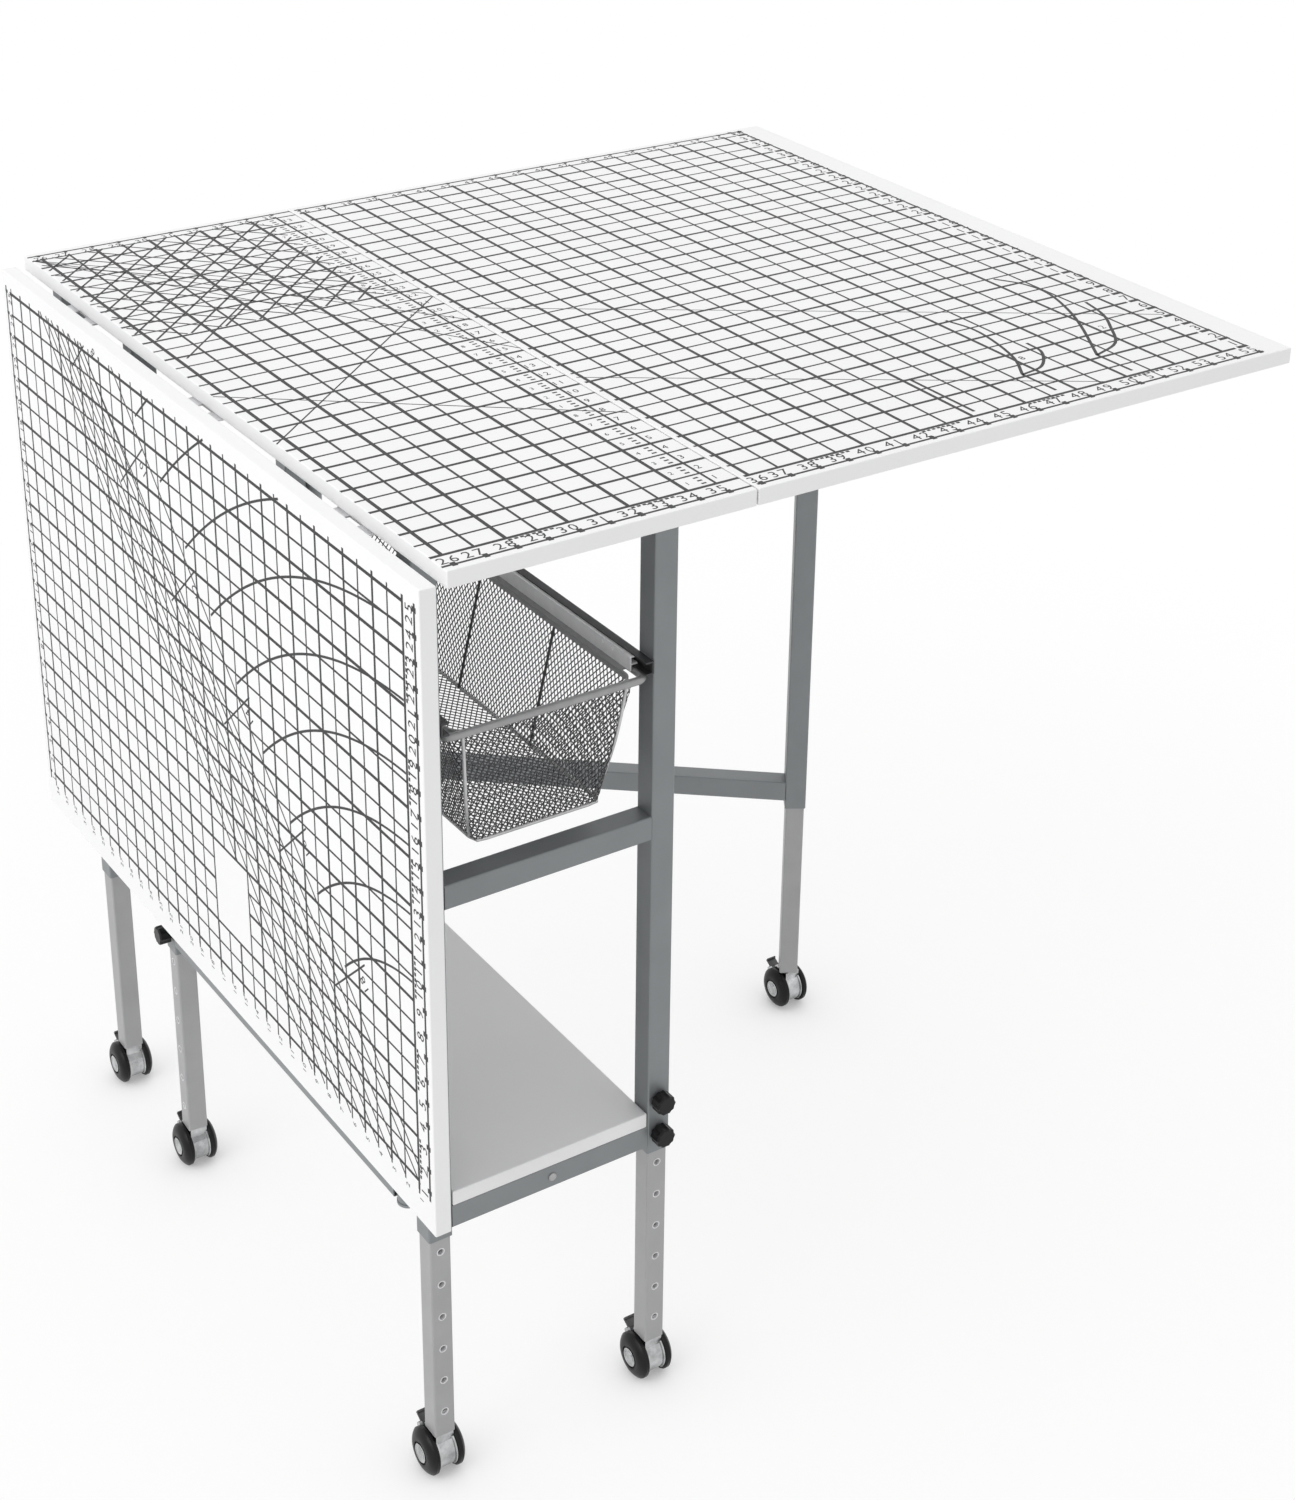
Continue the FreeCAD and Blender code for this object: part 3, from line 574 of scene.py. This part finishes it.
class InkSheet:
    """Flat ink strips and digits on one board: s from its left or top edge, t from its front edge."""

    def __init__(self, node, look, hanging=False):
        low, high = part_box(node)
        self.look = look
        self.bm = bmesh.new()
        self.width = high.x - low.x
        self.depth = high.y - low.y
        self.origin = Vector((low.x, low.y, high.z))
        self.s_axis = Vector((0, 0, -1) if hanging else (1, 0, 0))
        self.t_axis = Vector((0, 1, 0))
        self.normal = Vector((-1, 0, 0) if hanging else (0, 0, 1))
        # 1 where s runs to the reader's right, -1 where it runs to the left
        self.reading = self.s_axis.cross(self.t_axis).dot(self.normal)
        self.digits = {}
        count = int((self.depth - look.margin * 1.5) / look.pitch)
        self.rows = [look.margin + look.pitch * k for k in range(count + 1)]

    def at(self, s, t, lift):
        return self.origin + self.s_axis * s + self.t_axis * t + self.normal * (self.look.lift * lift)

    def strip(self, points, width, lift):
        """A flat ribbon along points (s, t)."""
        flat = [Vector(p) for p in points]
        rows = []
        count = len(flat)
        for k, point in enumerate(flat):
            along = (flat[min(k + 1, count - 1)] - flat[max(k - 1, 0)]).normalized()
            side = Vector((-along.y, along.x)) * (width / 2)
            rows.append([self.bm.verts.new(self.at(*(point + side * way), lift)) for way in (1, -1)])
        for first, second in zip(rows, rows[1:]):
            self.bm.faces.new((first[0], first[1], second[1], second[0]))

    def line(self, start, end, width, lift, low, high):
        """A straight ribbon, cut to the rectangle from low to high."""
        start = Vector(start)
        end = Vector(end)
        enter, leave = 0.0, 1.0
        for axis in (0, 1):
            step = end[axis] - start[axis]
            cuts = sorted(((low[axis] - start[axis]) / step, (high[axis] - start[axis]) / step))
            enter = max(enter, cuts[0])
            leave = min(leave, cuts[1])
        if leave > enter:
            self.strip([start.lerp(end, enter), start.lerp(end, leave)], width, lift)

    def bow(self, start, end, rise, width, low, steps=40):
        """A shallow arc between two points that rises towards small s, cut off where s is under low."""
        start = Vector(start)
        chord = Vector(end) - start
        side = Vector((chord.y, -chord.x)).normalized() * (rise * chord.length)
        if side.x > 0:
            side = -side
        shares = [k / steps for k in range(steps + 1)]
        points = [start + chord * u + side * (4 * u * (1 - u)) for u in shares]
        for inside, run in groupby(points, key=lambda point: point.x >= low):
            run = list(run)
            if inside and len(run) > 1:
                self.strip(run, width, ARCS)

    def number(self, text, s, t, height, turn=0.0):
        """Printed digits, centred at (s, t) and read from the front unless turned."""
        for index, digit in enumerate(text):
            if digit not in self.digits:
                curve = bpy.data.curves.new("digit_" + digit, "FONT")
                curve.body = digit
                curve.resolution_u = 2
                holder = bpy.data.objects.new("digit_holder", curve)
                mesh = bpy.data.meshes.new_from_object(holder)
                self.digits[digit] = ([tuple(v.co) for v in mesh.vertices],
                                      [tuple(f.vertices) for f in mesh.polygons])
                bpy.data.objects.remove(holder)
                bpy.data.curves.remove(curve)
                bpy.data.meshes.remove(mesh)
            points, faces = self.digits[digit]
            across = (index - (len(text) - 1) / 2) * DIGIT_STEP
            verts = []
            for x, y, _ in points:
                a = ((x - DIGIT_MIDDLE[0]) + across) * height * EM
                b = (y - DIGIT_MIDDLE[1]) * height * EM
                turned_a = a * math.cos(turn) - b * math.sin(turn)
                turned_b = a * math.sin(turn) + b * math.cos(turn)
                verts.append(self.bm.verts.new(self.at(s + turned_a * self.reading, t + turned_b, MARKS)))
            for face in faces:
                self.bm.faces.new([verts[i] for i in face])


class TABLE_OT_print(bpy.types.Operator):
    """Print the measuring grid, its numbers and its arcs on the three boards"""
    bl_idname = "cutting_table.grid_print"
    bl_label = "Grid print"

    def execute(self, context):
        look = context.scene.table_boards
        ink, tree, shader = new_material("grid_ink")
        tint = add_ramp(tree, add_noise(tree, 45.0, 6.0), shade(look.ink, 0.7), shade(look.ink, 1.6))
        tree.links.new(tint, shader.inputs["Base Color"])
        shader.inputs["Roughness"].default_value = 0.5
        self.centre_print(look, ink)
        self.right_print(look, ink)
        self.left_print(look, ink)
        return {"FINISHED"}

    def centre_print(self, look, ink):
        sheet = InkSheet("centre_board", look)
        self.grid(sheet, first=0.0113, step=0.02955, steps=9, number=26, way=1,
                  start=0.0, stop=sheet.width, edge=sheet.width, weight=LEVEL_WEIGHT)
        self.corner_bias(sheet)
        self.centre_scale(sheet)
        piece_from("centre_print", sheet.bm, ink, "frame", smooth=False)

    def right_print(self, look, ink):
        sheet = InkSheet("right_leaf_board", look)
        self.grid(sheet, first=0.009, step=0.0311, steps=19, number=36, way=1,
                  start=0.004, stop=0.586, edge=0.604, weight=LEVEL_WEIGHT)
        self.side_numbers(sheet)
        self.lens_guides(sheet)
        piece_from("right_leaf_print", sheet.bm, ink, "right_leaf", smooth=False)

    def left_print(self, look, ink):
        blank = InkSheet("left_leaf_board", look, hanging=True)
        blank.strip([(FIELD_START, FIELD_MIDDLE), (FIELD_STOP, FIELD_MIDDLE)], FIELD_WIDTH, FIELD)
        paper = white_laminate("label_field", look.laminate)
        piece_from("left_leaf_label_field", blank.bm, paper, "left_leaf", smooth=False)
        sheet = InkSheet("left_leaf_board", look, hanging=True)
        self.grid(sheet, first=0.0203, step=0.02374, steps=24, number=25, way=-1,
                  start=SKIRT_START, stop=SKIRT_END, edge=SKIRT_END)
        for index, t in enumerate(sheet.rows):
            sheet.strip([(SKIRT_END, t), (SKIRT_END + TICK, t)], look.line_width, MARKS)
            sheet.number(str(index + 1), SKIRT_NUMBERS, t - 0.004, look.digit * 0.55)
        self.skirt_fan(sheet)
        piece_from("left_leaf_print", sheet.bm, ink, "left_leaf", smooth=False)

    def grid(self, sheet, first, step, steps, number, way, start, stop, edge, weight=1.0):
        """Rows from start to stop, rules along the front and back as far as edge, and numbered columns."""
        look = sheet.look
        bold = look.bold_width * weight
        thin = look.line_width * weight
        near, far = sheet.rows[0], sheet.rows[-1]
        front = look.margin * FRONT_RULE
        back = sheet.depth - look.margin * BACK_RULE
        for index, t in enumerate(sheet.rows):
            sheet.strip([(start, t), (stop, t)], thin if index % 2 else bold, ROWS)
        for t in (front, back):
            sheet.strip([(start, t), (edge, t)], look.bold_width * 0.85, EDGES)
        for index in range(steps + 1):
            s = first + index * step
            sheet.strip([(s, near), (s, far + TICK)], thin if index % 2 else bold, COLUMNS)
            sheet.strip([(s, front - TICK * 0.75), (s, front + TICK)], look.bold_width * 1.5, MARKS)
            sheet.strip([(s, back - TICK), (s, back + TICK / 2)], look.bold_width, MARKS)
            label = str(number + way * index)
            beside = max(s - LABEL_ASIDE * sheet.reading, look.digit * 0.9)
            sheet.number(label, beside, look.margin * 0.64, look.digit)
            sheet.number(label, beside, back - 0.0085, look.digit * 0.72)
        for index in range(2, steps - 1, 4):
            for dash in range(DASHES):
                s = first + index * step + dash * DASH_STEP
                t = near - DASH_DROP
                sheet.strip([(s, t), (s + DASH_LENGTH, t)], look.line_width * 1.2, EDGES)

    def side_numbers(self, sheet):
        """One number and a short bold mark for each row at the far side of the right leaf."""
        look = sheet.look
        s = 0.592
        for index, t in enumerate(sheet.rows):
            sheet.number(str(index + 1), s + 0.002, t + look.pitch * 0.45, look.digit * 1.05)
            sheet.strip([(s - 0.003, t), (s + 0.010, t)], look.bold_width * 1.5, MARKS)

    def corner_bias(self, sheet):
        """Cross-hatched bias lines in the back corner, and long diagonals over the board."""
        look, depth = sheet.look, sheet.depth
        low = (0.004, depth - 0.30)
        high = (0.262, depth - DIAGONAL_END)
        for k in range(-7, 8):
            shift = k * BIAS_STEP
            for near, far in ((-0.28, 0.02), (0.0, -0.3)):
                sheet.line((0, depth + near + shift), (0.3, depth + far + shift), look.line_width,
                           DIAGONALS, low, high)
        low = (0.0, look.margin)
        high = (sheet.width, depth - DIAGONAL_END)
        ends = [(depth - 0.02, depth - fall) for fall in (0.50, 0.41, 0.32)]
        for near, far in ends + [(0.30, 0.56), (0.43, 0.20)]:
            sheet.line((0.0, near), (sheet.width, far), look.line_width * 0.7, DIAGONALS, low, high)
        sheet.strip([(0.02, depth - 0.36), (0.13, depth - 0.25)], look.arc_width * 0.8, CROSSES)

    def centre_scale(self, sheet):
        """A ruler of fine ticks with numbers beside the seam."""
        look = sheet.look
        s = sheet.width - 0.034
        whole, part, parts = 0.010, 0.005, 4
        for index, t in enumerate(sheet.rows[:-1]):
            for k in range(parts):
                tick = t + look.pitch * k / parts
                sheet.strip([(s, tick), (s + (part if k else whole), tick)], look.line_width, MARKS)
            middle = t + look.pitch * 0.5
            sheet.number(str(index + 1), s + 0.018, middle, look.digit * 0.66)
            sheet.number(str(index % 8 + 1), s - 0.010, middle, look.digit * 0.5)

    def lens_guides(self, sheet):
        """Lens-shaped pairs of arcs near the front corner, and two faint diagonals over the leaf."""
        look = sheet.look
        wide = look.arc_width * LENS_WEIGHT
        for shape in LENSES:
            sheet.strip(self.smooth(shape), wide, ARCS)
        for text, s, t in LENS_NUMBERS:
            sheet.number(text, s, t, look.digit * 0.7)
        for s, t in LENS_STEMS:
            sheet.strip([(s, t), (s + STEM_LEAN, STEM_FOOT)], wide, ARCS)
        low = (0.004, look.margin)
        high = (0.59, sheet.depth - DIAGONAL_END)
        for start, end in (((0, 0.30), (0.42, 0.028)), ((0, 0.52), (0.6, 0.13))):
            sheet.line(start, end, look.line_width * 0.6, DIAGONALS, low, high)

    def smooth(self, points, parts=6):
        """A Catmull-Rom curve through the points."""
        flat = [Vector(p) for p in points]
        flat = [flat[0] * 2 - flat[1]] + flat + [flat[-1] * 2 - flat[-2]]
        run = []
        for a, b, c, d in zip(flat, flat[1:], flat[2:], flat[3:]):
            for k in range(parts):
                u = k / parts
                run.append((b * 2 + (c - a) * u + (a * 2 - b * 5 + c * 4 - d) * u ** 2
                            + (b * 3 - a - c * 3 + d) * u ** 3) / 2)
        return run + [flat[-2]]

    def skirt_fan(self, sheet):
        """Nested arcs that spring from the front edge, and a fan of long diagonals with cross marks."""
        look = sheet.look
        low = (SKIRT_START, 0.026)
        high = (SKIRT_END, sheet.depth - 0.02)
        for k in range(-3, 6):
            sheet.bow((0.1944 + 0.0491 * k, 0.4059 - 0.0497 * k), (0.0428 + 0.0679 * k, 0.030), 0.094,
                      look.arc_width, SKIRT_START)
        ends = [(0.800 - 0.0145 * k, 0.236 - 0.026 * k) for k in range(8)]
        for near, far in ends + [(0.622, 0.002), (0.700, 0.018)]:
            sheet.line((0.0, near), (SKIRT_END, far), look.line_width, DIAGONALS, low, high)
        for k in range(6):
            start = (0.048 + 0.0847 * k, 0.7096 - 0.1063 * k)
            end = (start[0] - 0.056, start[1] - 0.060)
            sheet.line(start, end, look.arc_width * 0.8, CROSSES, low, high)
            sheet.number(str(8 + 2 * k), end[0] + 0.022, end[1] + 0.002, look.digit * 0.9, math.pi / 4)


# ---------------------------------------------------------------- frame, gates and legs

class TABLE_OT_frame(bpy.types.Operator):
    """Paint the posts, rails and gates, and plate their small steel"""
    bl_idname = "cutting_table.frame_paint"
    bl_label = "Frame"

    def execute(self, context):
        look = context.scene.table_metal
        paint = surface("grey_powder_coat", look.frame_paint, 0.42, spread=0.04, metallic=0.35, grain=1400,
                        grain_depth=0.12, mottle=20)
        screw = surface("screw_steel", look.screw, 0.3, spread=0.12, metallic=0.7, grain=600,
                        grain_depth=0.06, mottle=160)
        zinc = surface("zinc_plating", look.plating, 0.36, spread=0.1, metallic=1.0, grain=400,
                       grain_depth=0.05, mottle=90)
        for node in NODES:
            if node.endswith(("_post", "_rail", "_gate_rails", "_gate_hinge_tube", "gate_hinge_brackets")):
                dress(node, paint)
        dress("shelf_rail_screws", screw)
        for node in ("centre_board_hinges", "left_leaf_hinges", "right_leaf_hinges"):
            dress(node, zinc)
        return {"FINISHED"}


HOLES = 9                           # setting holes in one leg
# Sleeve of a setting hole: millimetres out of the leg's face, and radius in hole radii
SLEEVE = ((-0.1, 1.24), (0.12, 1.2), (0.2, 1.06), (0.1, 0.927), (-0.5, 0.9), (-5.0, 0.9), (-5.0, 0.98),
          (-0.1, 0.98), (-0.1, 1.24))


class TABLE_OT_legs(bpy.types.Operator):
    """Finish the silver inner legs and rim their setting holes"""
    bl_idname = "cutting_table.legs"
    bl_label = "Inner legs"

    def execute(self, context):
        look = context.scene.table_metal
        silver = surface("satin_silver_paint", look.leg_paint, 0.4, spread=0.035, metallic=0.4, grain=1200,
                         grain_depth=0.06, mottle=30)
        bright = surface("hole_sleeve_steel", look.plating, 0.34, spread=0.06, metallic=0.1, grain=500,
                         grain_depth=0.03, mottle=90)
        outward = {joint["child"]: Vector(joint["axis"]) for joint in frame["joints"]}
        for name in LEGS:
            dress(name + "_leg", silver)
            sides = [outward[name + "_knobs"]]
            if name.startswith("front"):
                sides.append(-sides[0])
            self.sleeves(name, sides, look, bright)
        return {"FINISHED"}

    def sleeves(self, name, sides, look, bright):
        """A rolled edge, drawn inwards, round each setting hole."""
        middle = span(name + "_leg")[2]
        bm = bmesh.new()
        profile = [(along * MM, look.hole * share) for along, share in SLEEVE]
        for side in sides:
            for step in range(HOLES):
                place = Vector((middle.x, middle.y, look.first_hole + look.hole_pitch * step))
                lathe(bm, profile, place + side * look.leg_half, side, 20)
        piece_from(name + "_hole_sleeves", bm, bright, body_of(name + "_leg"))


class TABLE_OT_knobs(bpy.types.Operator):
    """Mould the black clamp knobs"""
    bl_idname = "cutting_table.knobs"
    bl_label = "Clamp knobs"

    def execute(self, context):
        look = context.scene.table_metal
        black = surface("knob_plastic", look.black_plastic, 0.36, spread=0.12, grain=700, grain_depth=0.1,
                        mottle=40, specular=0.22)
        for name in LEGS:
            dress(name + "_knobs", black)
        return {"FINISHED"}


# Hub cap: how far out of the wheel's face, and radius, both in millimetres
HUB_CAP = ((-1.2, 10.1), (0.2, 9.9), (0.6, 9.3), (0.5, 8.3), (0.1, 7.7), (0.1, 6.6), (0.7, 5.9), (1.1, 4.2),
           (1.3, 2.0), (1.35, 0))


class TABLE_OT_casters(bpy.types.Operator):
    """Finish the casters: tyres, hub caps, hoods and brake tabs"""
    bl_idname = "cutting_table.casters"
    bl_label = "Casters"

    def execute(self, context):
        look = context.scene.table_metal
        tyre = surface("tyre_rubber", look.black_plastic, 0.34, spread=0.2, grain=500, grain_depth=0.14,
                       mottle=80, specular=0.2)
        # The wide colour spread paints light and dark reflection bands onto the casters' steel and hub
        # caps, and the darkened base stands in for dark reflections
        chrome = surface("caster_plating", look.chrome, 0.2, spread=0.35, metallic=1.0, grain=500,
                         grain_depth=0.03, mottle=70)
        brake = surface("brake_steel", look.brake_steel, 0.38, spread=0.2, metallic=0.7, grain=500,
                        grain_depth=0.1, mottle=90)
        for name in LEGS:
            dress(name + "_caster_wheels", tyre)
            dress(name + "_caster_body", chrome)
            dress(name + "_caster_brake", brake)
            self.hub_caps(name, chrome)
        return {"FINISHED"}

    def hub_caps(self, name, chrome):
        low, high, middle = span(name + "_caster_wheels")
        bm = bmesh.new()
        profile = [(along * MM, radius * MM) for along, radius in HUB_CAP]
        for sign, x in ((-1, low.x), (1, high.x)):
            lathe(bm, profile, (x, middle.y, middle.z), (sign, 0, 0), 48)
        piece_from(name + "_hub_caps", bm, chrome, body_of(name + "_caster_wheels"))


# ---------------------------------------------------------------- basket

WEAVE = 0.2                         # how far a wall strand lies in or out, in strand widths
STRAND_DEPTH = 0.56                 # thickness of a wall strand, in strand widths
FLOOR_WEAVE = 0.00025               # how far a floor strand lies up or down


class TABLE_OT_basket(bpy.types.Operator):
    """Weave the basket's diamond mesh with its edge wires, and finish its rim and runners"""
    bl_idname = "cutting_table.basket"
    bl_label = "Mesh basket"

    def execute(self, context):
        look = context.scene.table_basket
        # The rim's colour is partly its grey coating and partly painted light, lightened against the shade
        # of the centre board above
        rim = surface("rim_coating", look.rim, 0.36, spread=0.08, metallic=0.4, grain=900,
                      grain_depth=0.08, mottle=60)
        strands = surface("mesh_coating", look.strands, 0.4, spread=0.1, metallic=0.4, grain=900,
                          grain_depth=0.06, mottle=60)
        dark = surface("runner_coating", look.runner, 0.4, spread=0.08, metallic=0.3, grain=900,
                       grain_depth=0.08, mottle=60)
        # The slides' near-white matt colour is partly their plating and partly painted light: it paints in
        # the sheen and the light lost under the board above
        zinc = surface("slide_plating", look.slide, 0.4, spread=0.04, grain=500, grain_depth=0.05,
                       mottle=90)
        edge = surface("edge_wire_coating", look.edge, 0.34, spread=0.12, metallic=0.4, grain=900,
                       grain_depth=0.06, mottle=60)
        dress("basket_rim", rim)
        dress("basket_runners", dark)
        dress("basket_slides", zinc)
        self.low, self.high, self.middle = span("basket_mesh")
        self.look = look
        bm = bmesh.new()
        self.walls(bm)
        self.floor(bm)
        mesh_piece = piece_from("basket_lattice", bm, strands, "basket", smooth=False)
        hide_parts("basket_mesh")
        bm = bmesh.new()
        for share in self.corner_shares():
            wire(bm, [self.wall_point(share, h / 8) for h in range(9)], look.corner_wire)
        wire(bm, self.floor_loop(), look.corner_wire, closed=True)
        piece_from("basket_wires", bm, edge, "basket")
        bm = bmesh.new()
        for x, sign in ((self.low.x, 1), (self.high.x, -1)):
            for part in (1 / 3, 2 / 3):
                y = self.low.y + (self.high.y - self.low.y) * part
                top = Vector((x + sign * look.corner_wire, y, self.high.z))
                foot = Vector((x + sign * (look.side_slope + look.corner_wire), y, self.low.z))
                wire(bm, (top, foot), look.corner_wire * 0.8)
        piece_from("basket_ribs", bm, strands, "basket")
        return {"FINISHED"}

    def outline(self, height):
        """Half width and half depth of the tub at a height from 0 at the floor to 1 at the mouth."""
        half_x = (self.high.x - self.low.x) / 2 - self.look.side_slope * (1 - height)
        half_y = (self.high.y - self.low.y) / 2 - self.look.end_slope * (1 - height)
        return half_x, half_y

    def lengths(self, height):
        """The flat stretches along the depth and the width, one corner's arc, and the whole way round."""
        half_x, half_y = self.outline(height)
        flat_y = 2 * (half_y - self.look.corner)
        flat_x = 2 * (half_x - self.look.corner)
        arc = math.pi / 2 * self.look.corner
        return flat_y, flat_x, arc, 2 * (flat_y + flat_x) + 4 * arc

    def wall_point(self, share, height):
        """A point on the tub's wall; share runs once round from the middle of the right side."""
        reaches = self.outline(height)
        *flats, arc, whole = self.lengths(height)
        radius = self.look.corner
        run = ((share % 1.0) * whole + flats[0] / 2) % whole
        for quarter in range(4):
            turn = math.radians(90 * quarter)
            out = Vector((math.cos(turn), math.sin(turn)))
            along = Vector((-out.y, out.x))
            flat, reach = flats[quarter % 2], reaches[quarter % 2]
            if run < flat:
                place = out * reach + along * (run - flat / 2)
                break
            run -= flat
            if run < arc or quarter == 3:
                a = turn + run / radius
                place = out * (reach - radius) + along * (flat / 2)
                place += Vector((math.cos(a), math.sin(a))) * radius
                break
            run -= arc
        z = self.low.z + (self.high.z - self.low.z) * height
        return Vector((self.middle.x + place.x, self.middle.y + place.y, z))

    def floor_loop(self, steps=96):
        return [self.wall_point(k / steps, 0.0) for k in range(steps)]

    def corner_shares(self):
        """Where the middles of the four corners lie on the way round."""
        flat_y, flat_x, arc, whole = self.lengths(0.5)
        first = (flat_y + arc) / 2
        second = first + arc + flat_x
        return [run / whole for run in (first, second, first + whole / 2, second + whole / 2)]

    def walls(self, bm):
        """Two crossing families of flat strands round the tub's wall."""
        look = self.look
        count = round(self.lengths(0.6)[3] / look.mesh_pitch)
        rows = (self.high.z - self.low.z) / look.mesh_height
        steps = 14
        for sign in (1, -1):
            for k in range(count):
                self.strand(bm, [self.wall_point((k + sign * rows * h / steps) / count, h / steps)
                                 for h in range(steps + 1)], sign)

    def strand(self, bm, points, sign):
        """One flat strand, set a little in or out so that the two families weave."""
        look = self.look
        half_x, half_y = (half - 2 * look.corner for half in self.outline(0.5))
        rings = []
        for index, point in enumerate(points):
            ahead = points[min(index + 1, len(points) - 1)]
            behind = points[max(index - 1, 0)]
            along = (ahead - behind).normalized()
            x, y, _ = point - self.middle
            out = Vector((math.copysign(max(abs(x) - half_x, 0.0), x),
                          math.copysign(max(abs(y) - half_y, 0.0), y), 0)).normalized()
            normal = (out - along * out.dot(along)).normalized()
            across = along.cross(normal) * (look.strand / 2)
            centre = point + normal * sign * look.strand * WEAVE
            thick = normal * (look.strand * STRAND_DEPTH / 2)
            rings.append([bm.verts.new(centre + across * sx + thick * sy) for sx, sy in SQUARE])
        skin(bm, rings)

    def floor(self, bm):
        """The mesh floor, cut to the tub's outline."""
        look = self.look
        centre = Vector((self.middle.x, self.middle.y, self.low.z))
        outline = [(point - centre).xy for point in self.floor_loop()]
        slope = math.atan2(look.mesh_height, look.mesh_pitch)
        gap = look.mesh_pitch * math.sin(slope)
        for sign in (1, -1):
            direction = Vector((math.cos(slope), sign * math.sin(slope)))
            side = Vector((-direction.y, direction.x))
            offsets = [point.dot(side) for point in outline]
            for step in range(math.ceil(min(offsets) / gap), math.floor(max(offsets) / gap) + 1):
                ends = self.clip(outline, side, step * gap)
                if ends and (ends[1] - ends[0]).length > look.strand:
                    first, last = (centre + Vector((end.x, end.y, sign * FLOOR_WEAVE)) for end in ends)
                    bar(bm, first, last, look.strand, look.strand * 0.55, (0, 0, 1))

    def clip(self, outline, side, offset):
        """The two points where a line crosses the outline."""
        hits = []
        for p, q in zip(outline, outline[1:] + outline[:1]):
            dp = p.dot(side) - offset
            dq = q.dot(side) - offset
            if (dp < 0) != (dq < 0):
                hits.append(p + (q - p) * (dp / (dp - dq)))
        return hits[:2]


# ---------------------------------------------------------------- panel and registration

class TABLE_PT_panel(bpy.types.Panel):
    bl_label = "Cutting table"
    bl_idname = "TABLE_PT_panel"
    bl_space_type = "VIEW_3D"
    bl_region_type = "UI"
    bl_category = "Cutting table"

    def draw(self, context):
        layout = self.layout
        for setting, kind in SETTINGS.items():
            box = layout.box()
            for name in kind.__annotations__:
                box.prop(getattr(context.scene, setting), name)
        for step in STEPS:
            layout.operator(step.bl_idname)


STEPS = (TABLE_OT_studio, TABLE_OT_boards, TABLE_OT_print, TABLE_OT_frame, TABLE_OT_legs, TABLE_OT_knobs,
         TABLE_OT_casters, TABLE_OT_basket)
SETTINGS = {"table_boards": TableBoardSettings, "table_metal": TableMetalSettings,
            "table_basket": TableBasketSettings, "table_studio": TableStudioSettings}
CLASSES = (*SETTINGS.values(), *STEPS, TABLE_PT_panel)


def register():
    for item in CLASSES:
        bpy.utils.register_class(item)
    for setting, kind in SETTINGS.items():
        setattr(bpy.types.Scene, setting, bpy.props.PointerProperty(type=kind))


def unregister():
    for setting in SETTINGS:
        delattr(bpy.types.Scene, setting)
    for item in reversed(CLASSES):
        bpy.utils.unregister_class(item)


def main():
    register()
    bpy.ops.cutting_table.studio()
    bpy.ops.cutting_table.boards()
    bpy.ops.cutting_table.grid_print()
    bpy.ops.cutting_table.frame_paint()
    bpy.ops.cutting_table.legs()
    bpy.ops.cutting_table.knobs()
    bpy.ops.cutting_table.casters()
    bpy.ops.cutting_table.basket()
    bpy.context.view_layer.update()


if __name__ == "__main__":
    main()
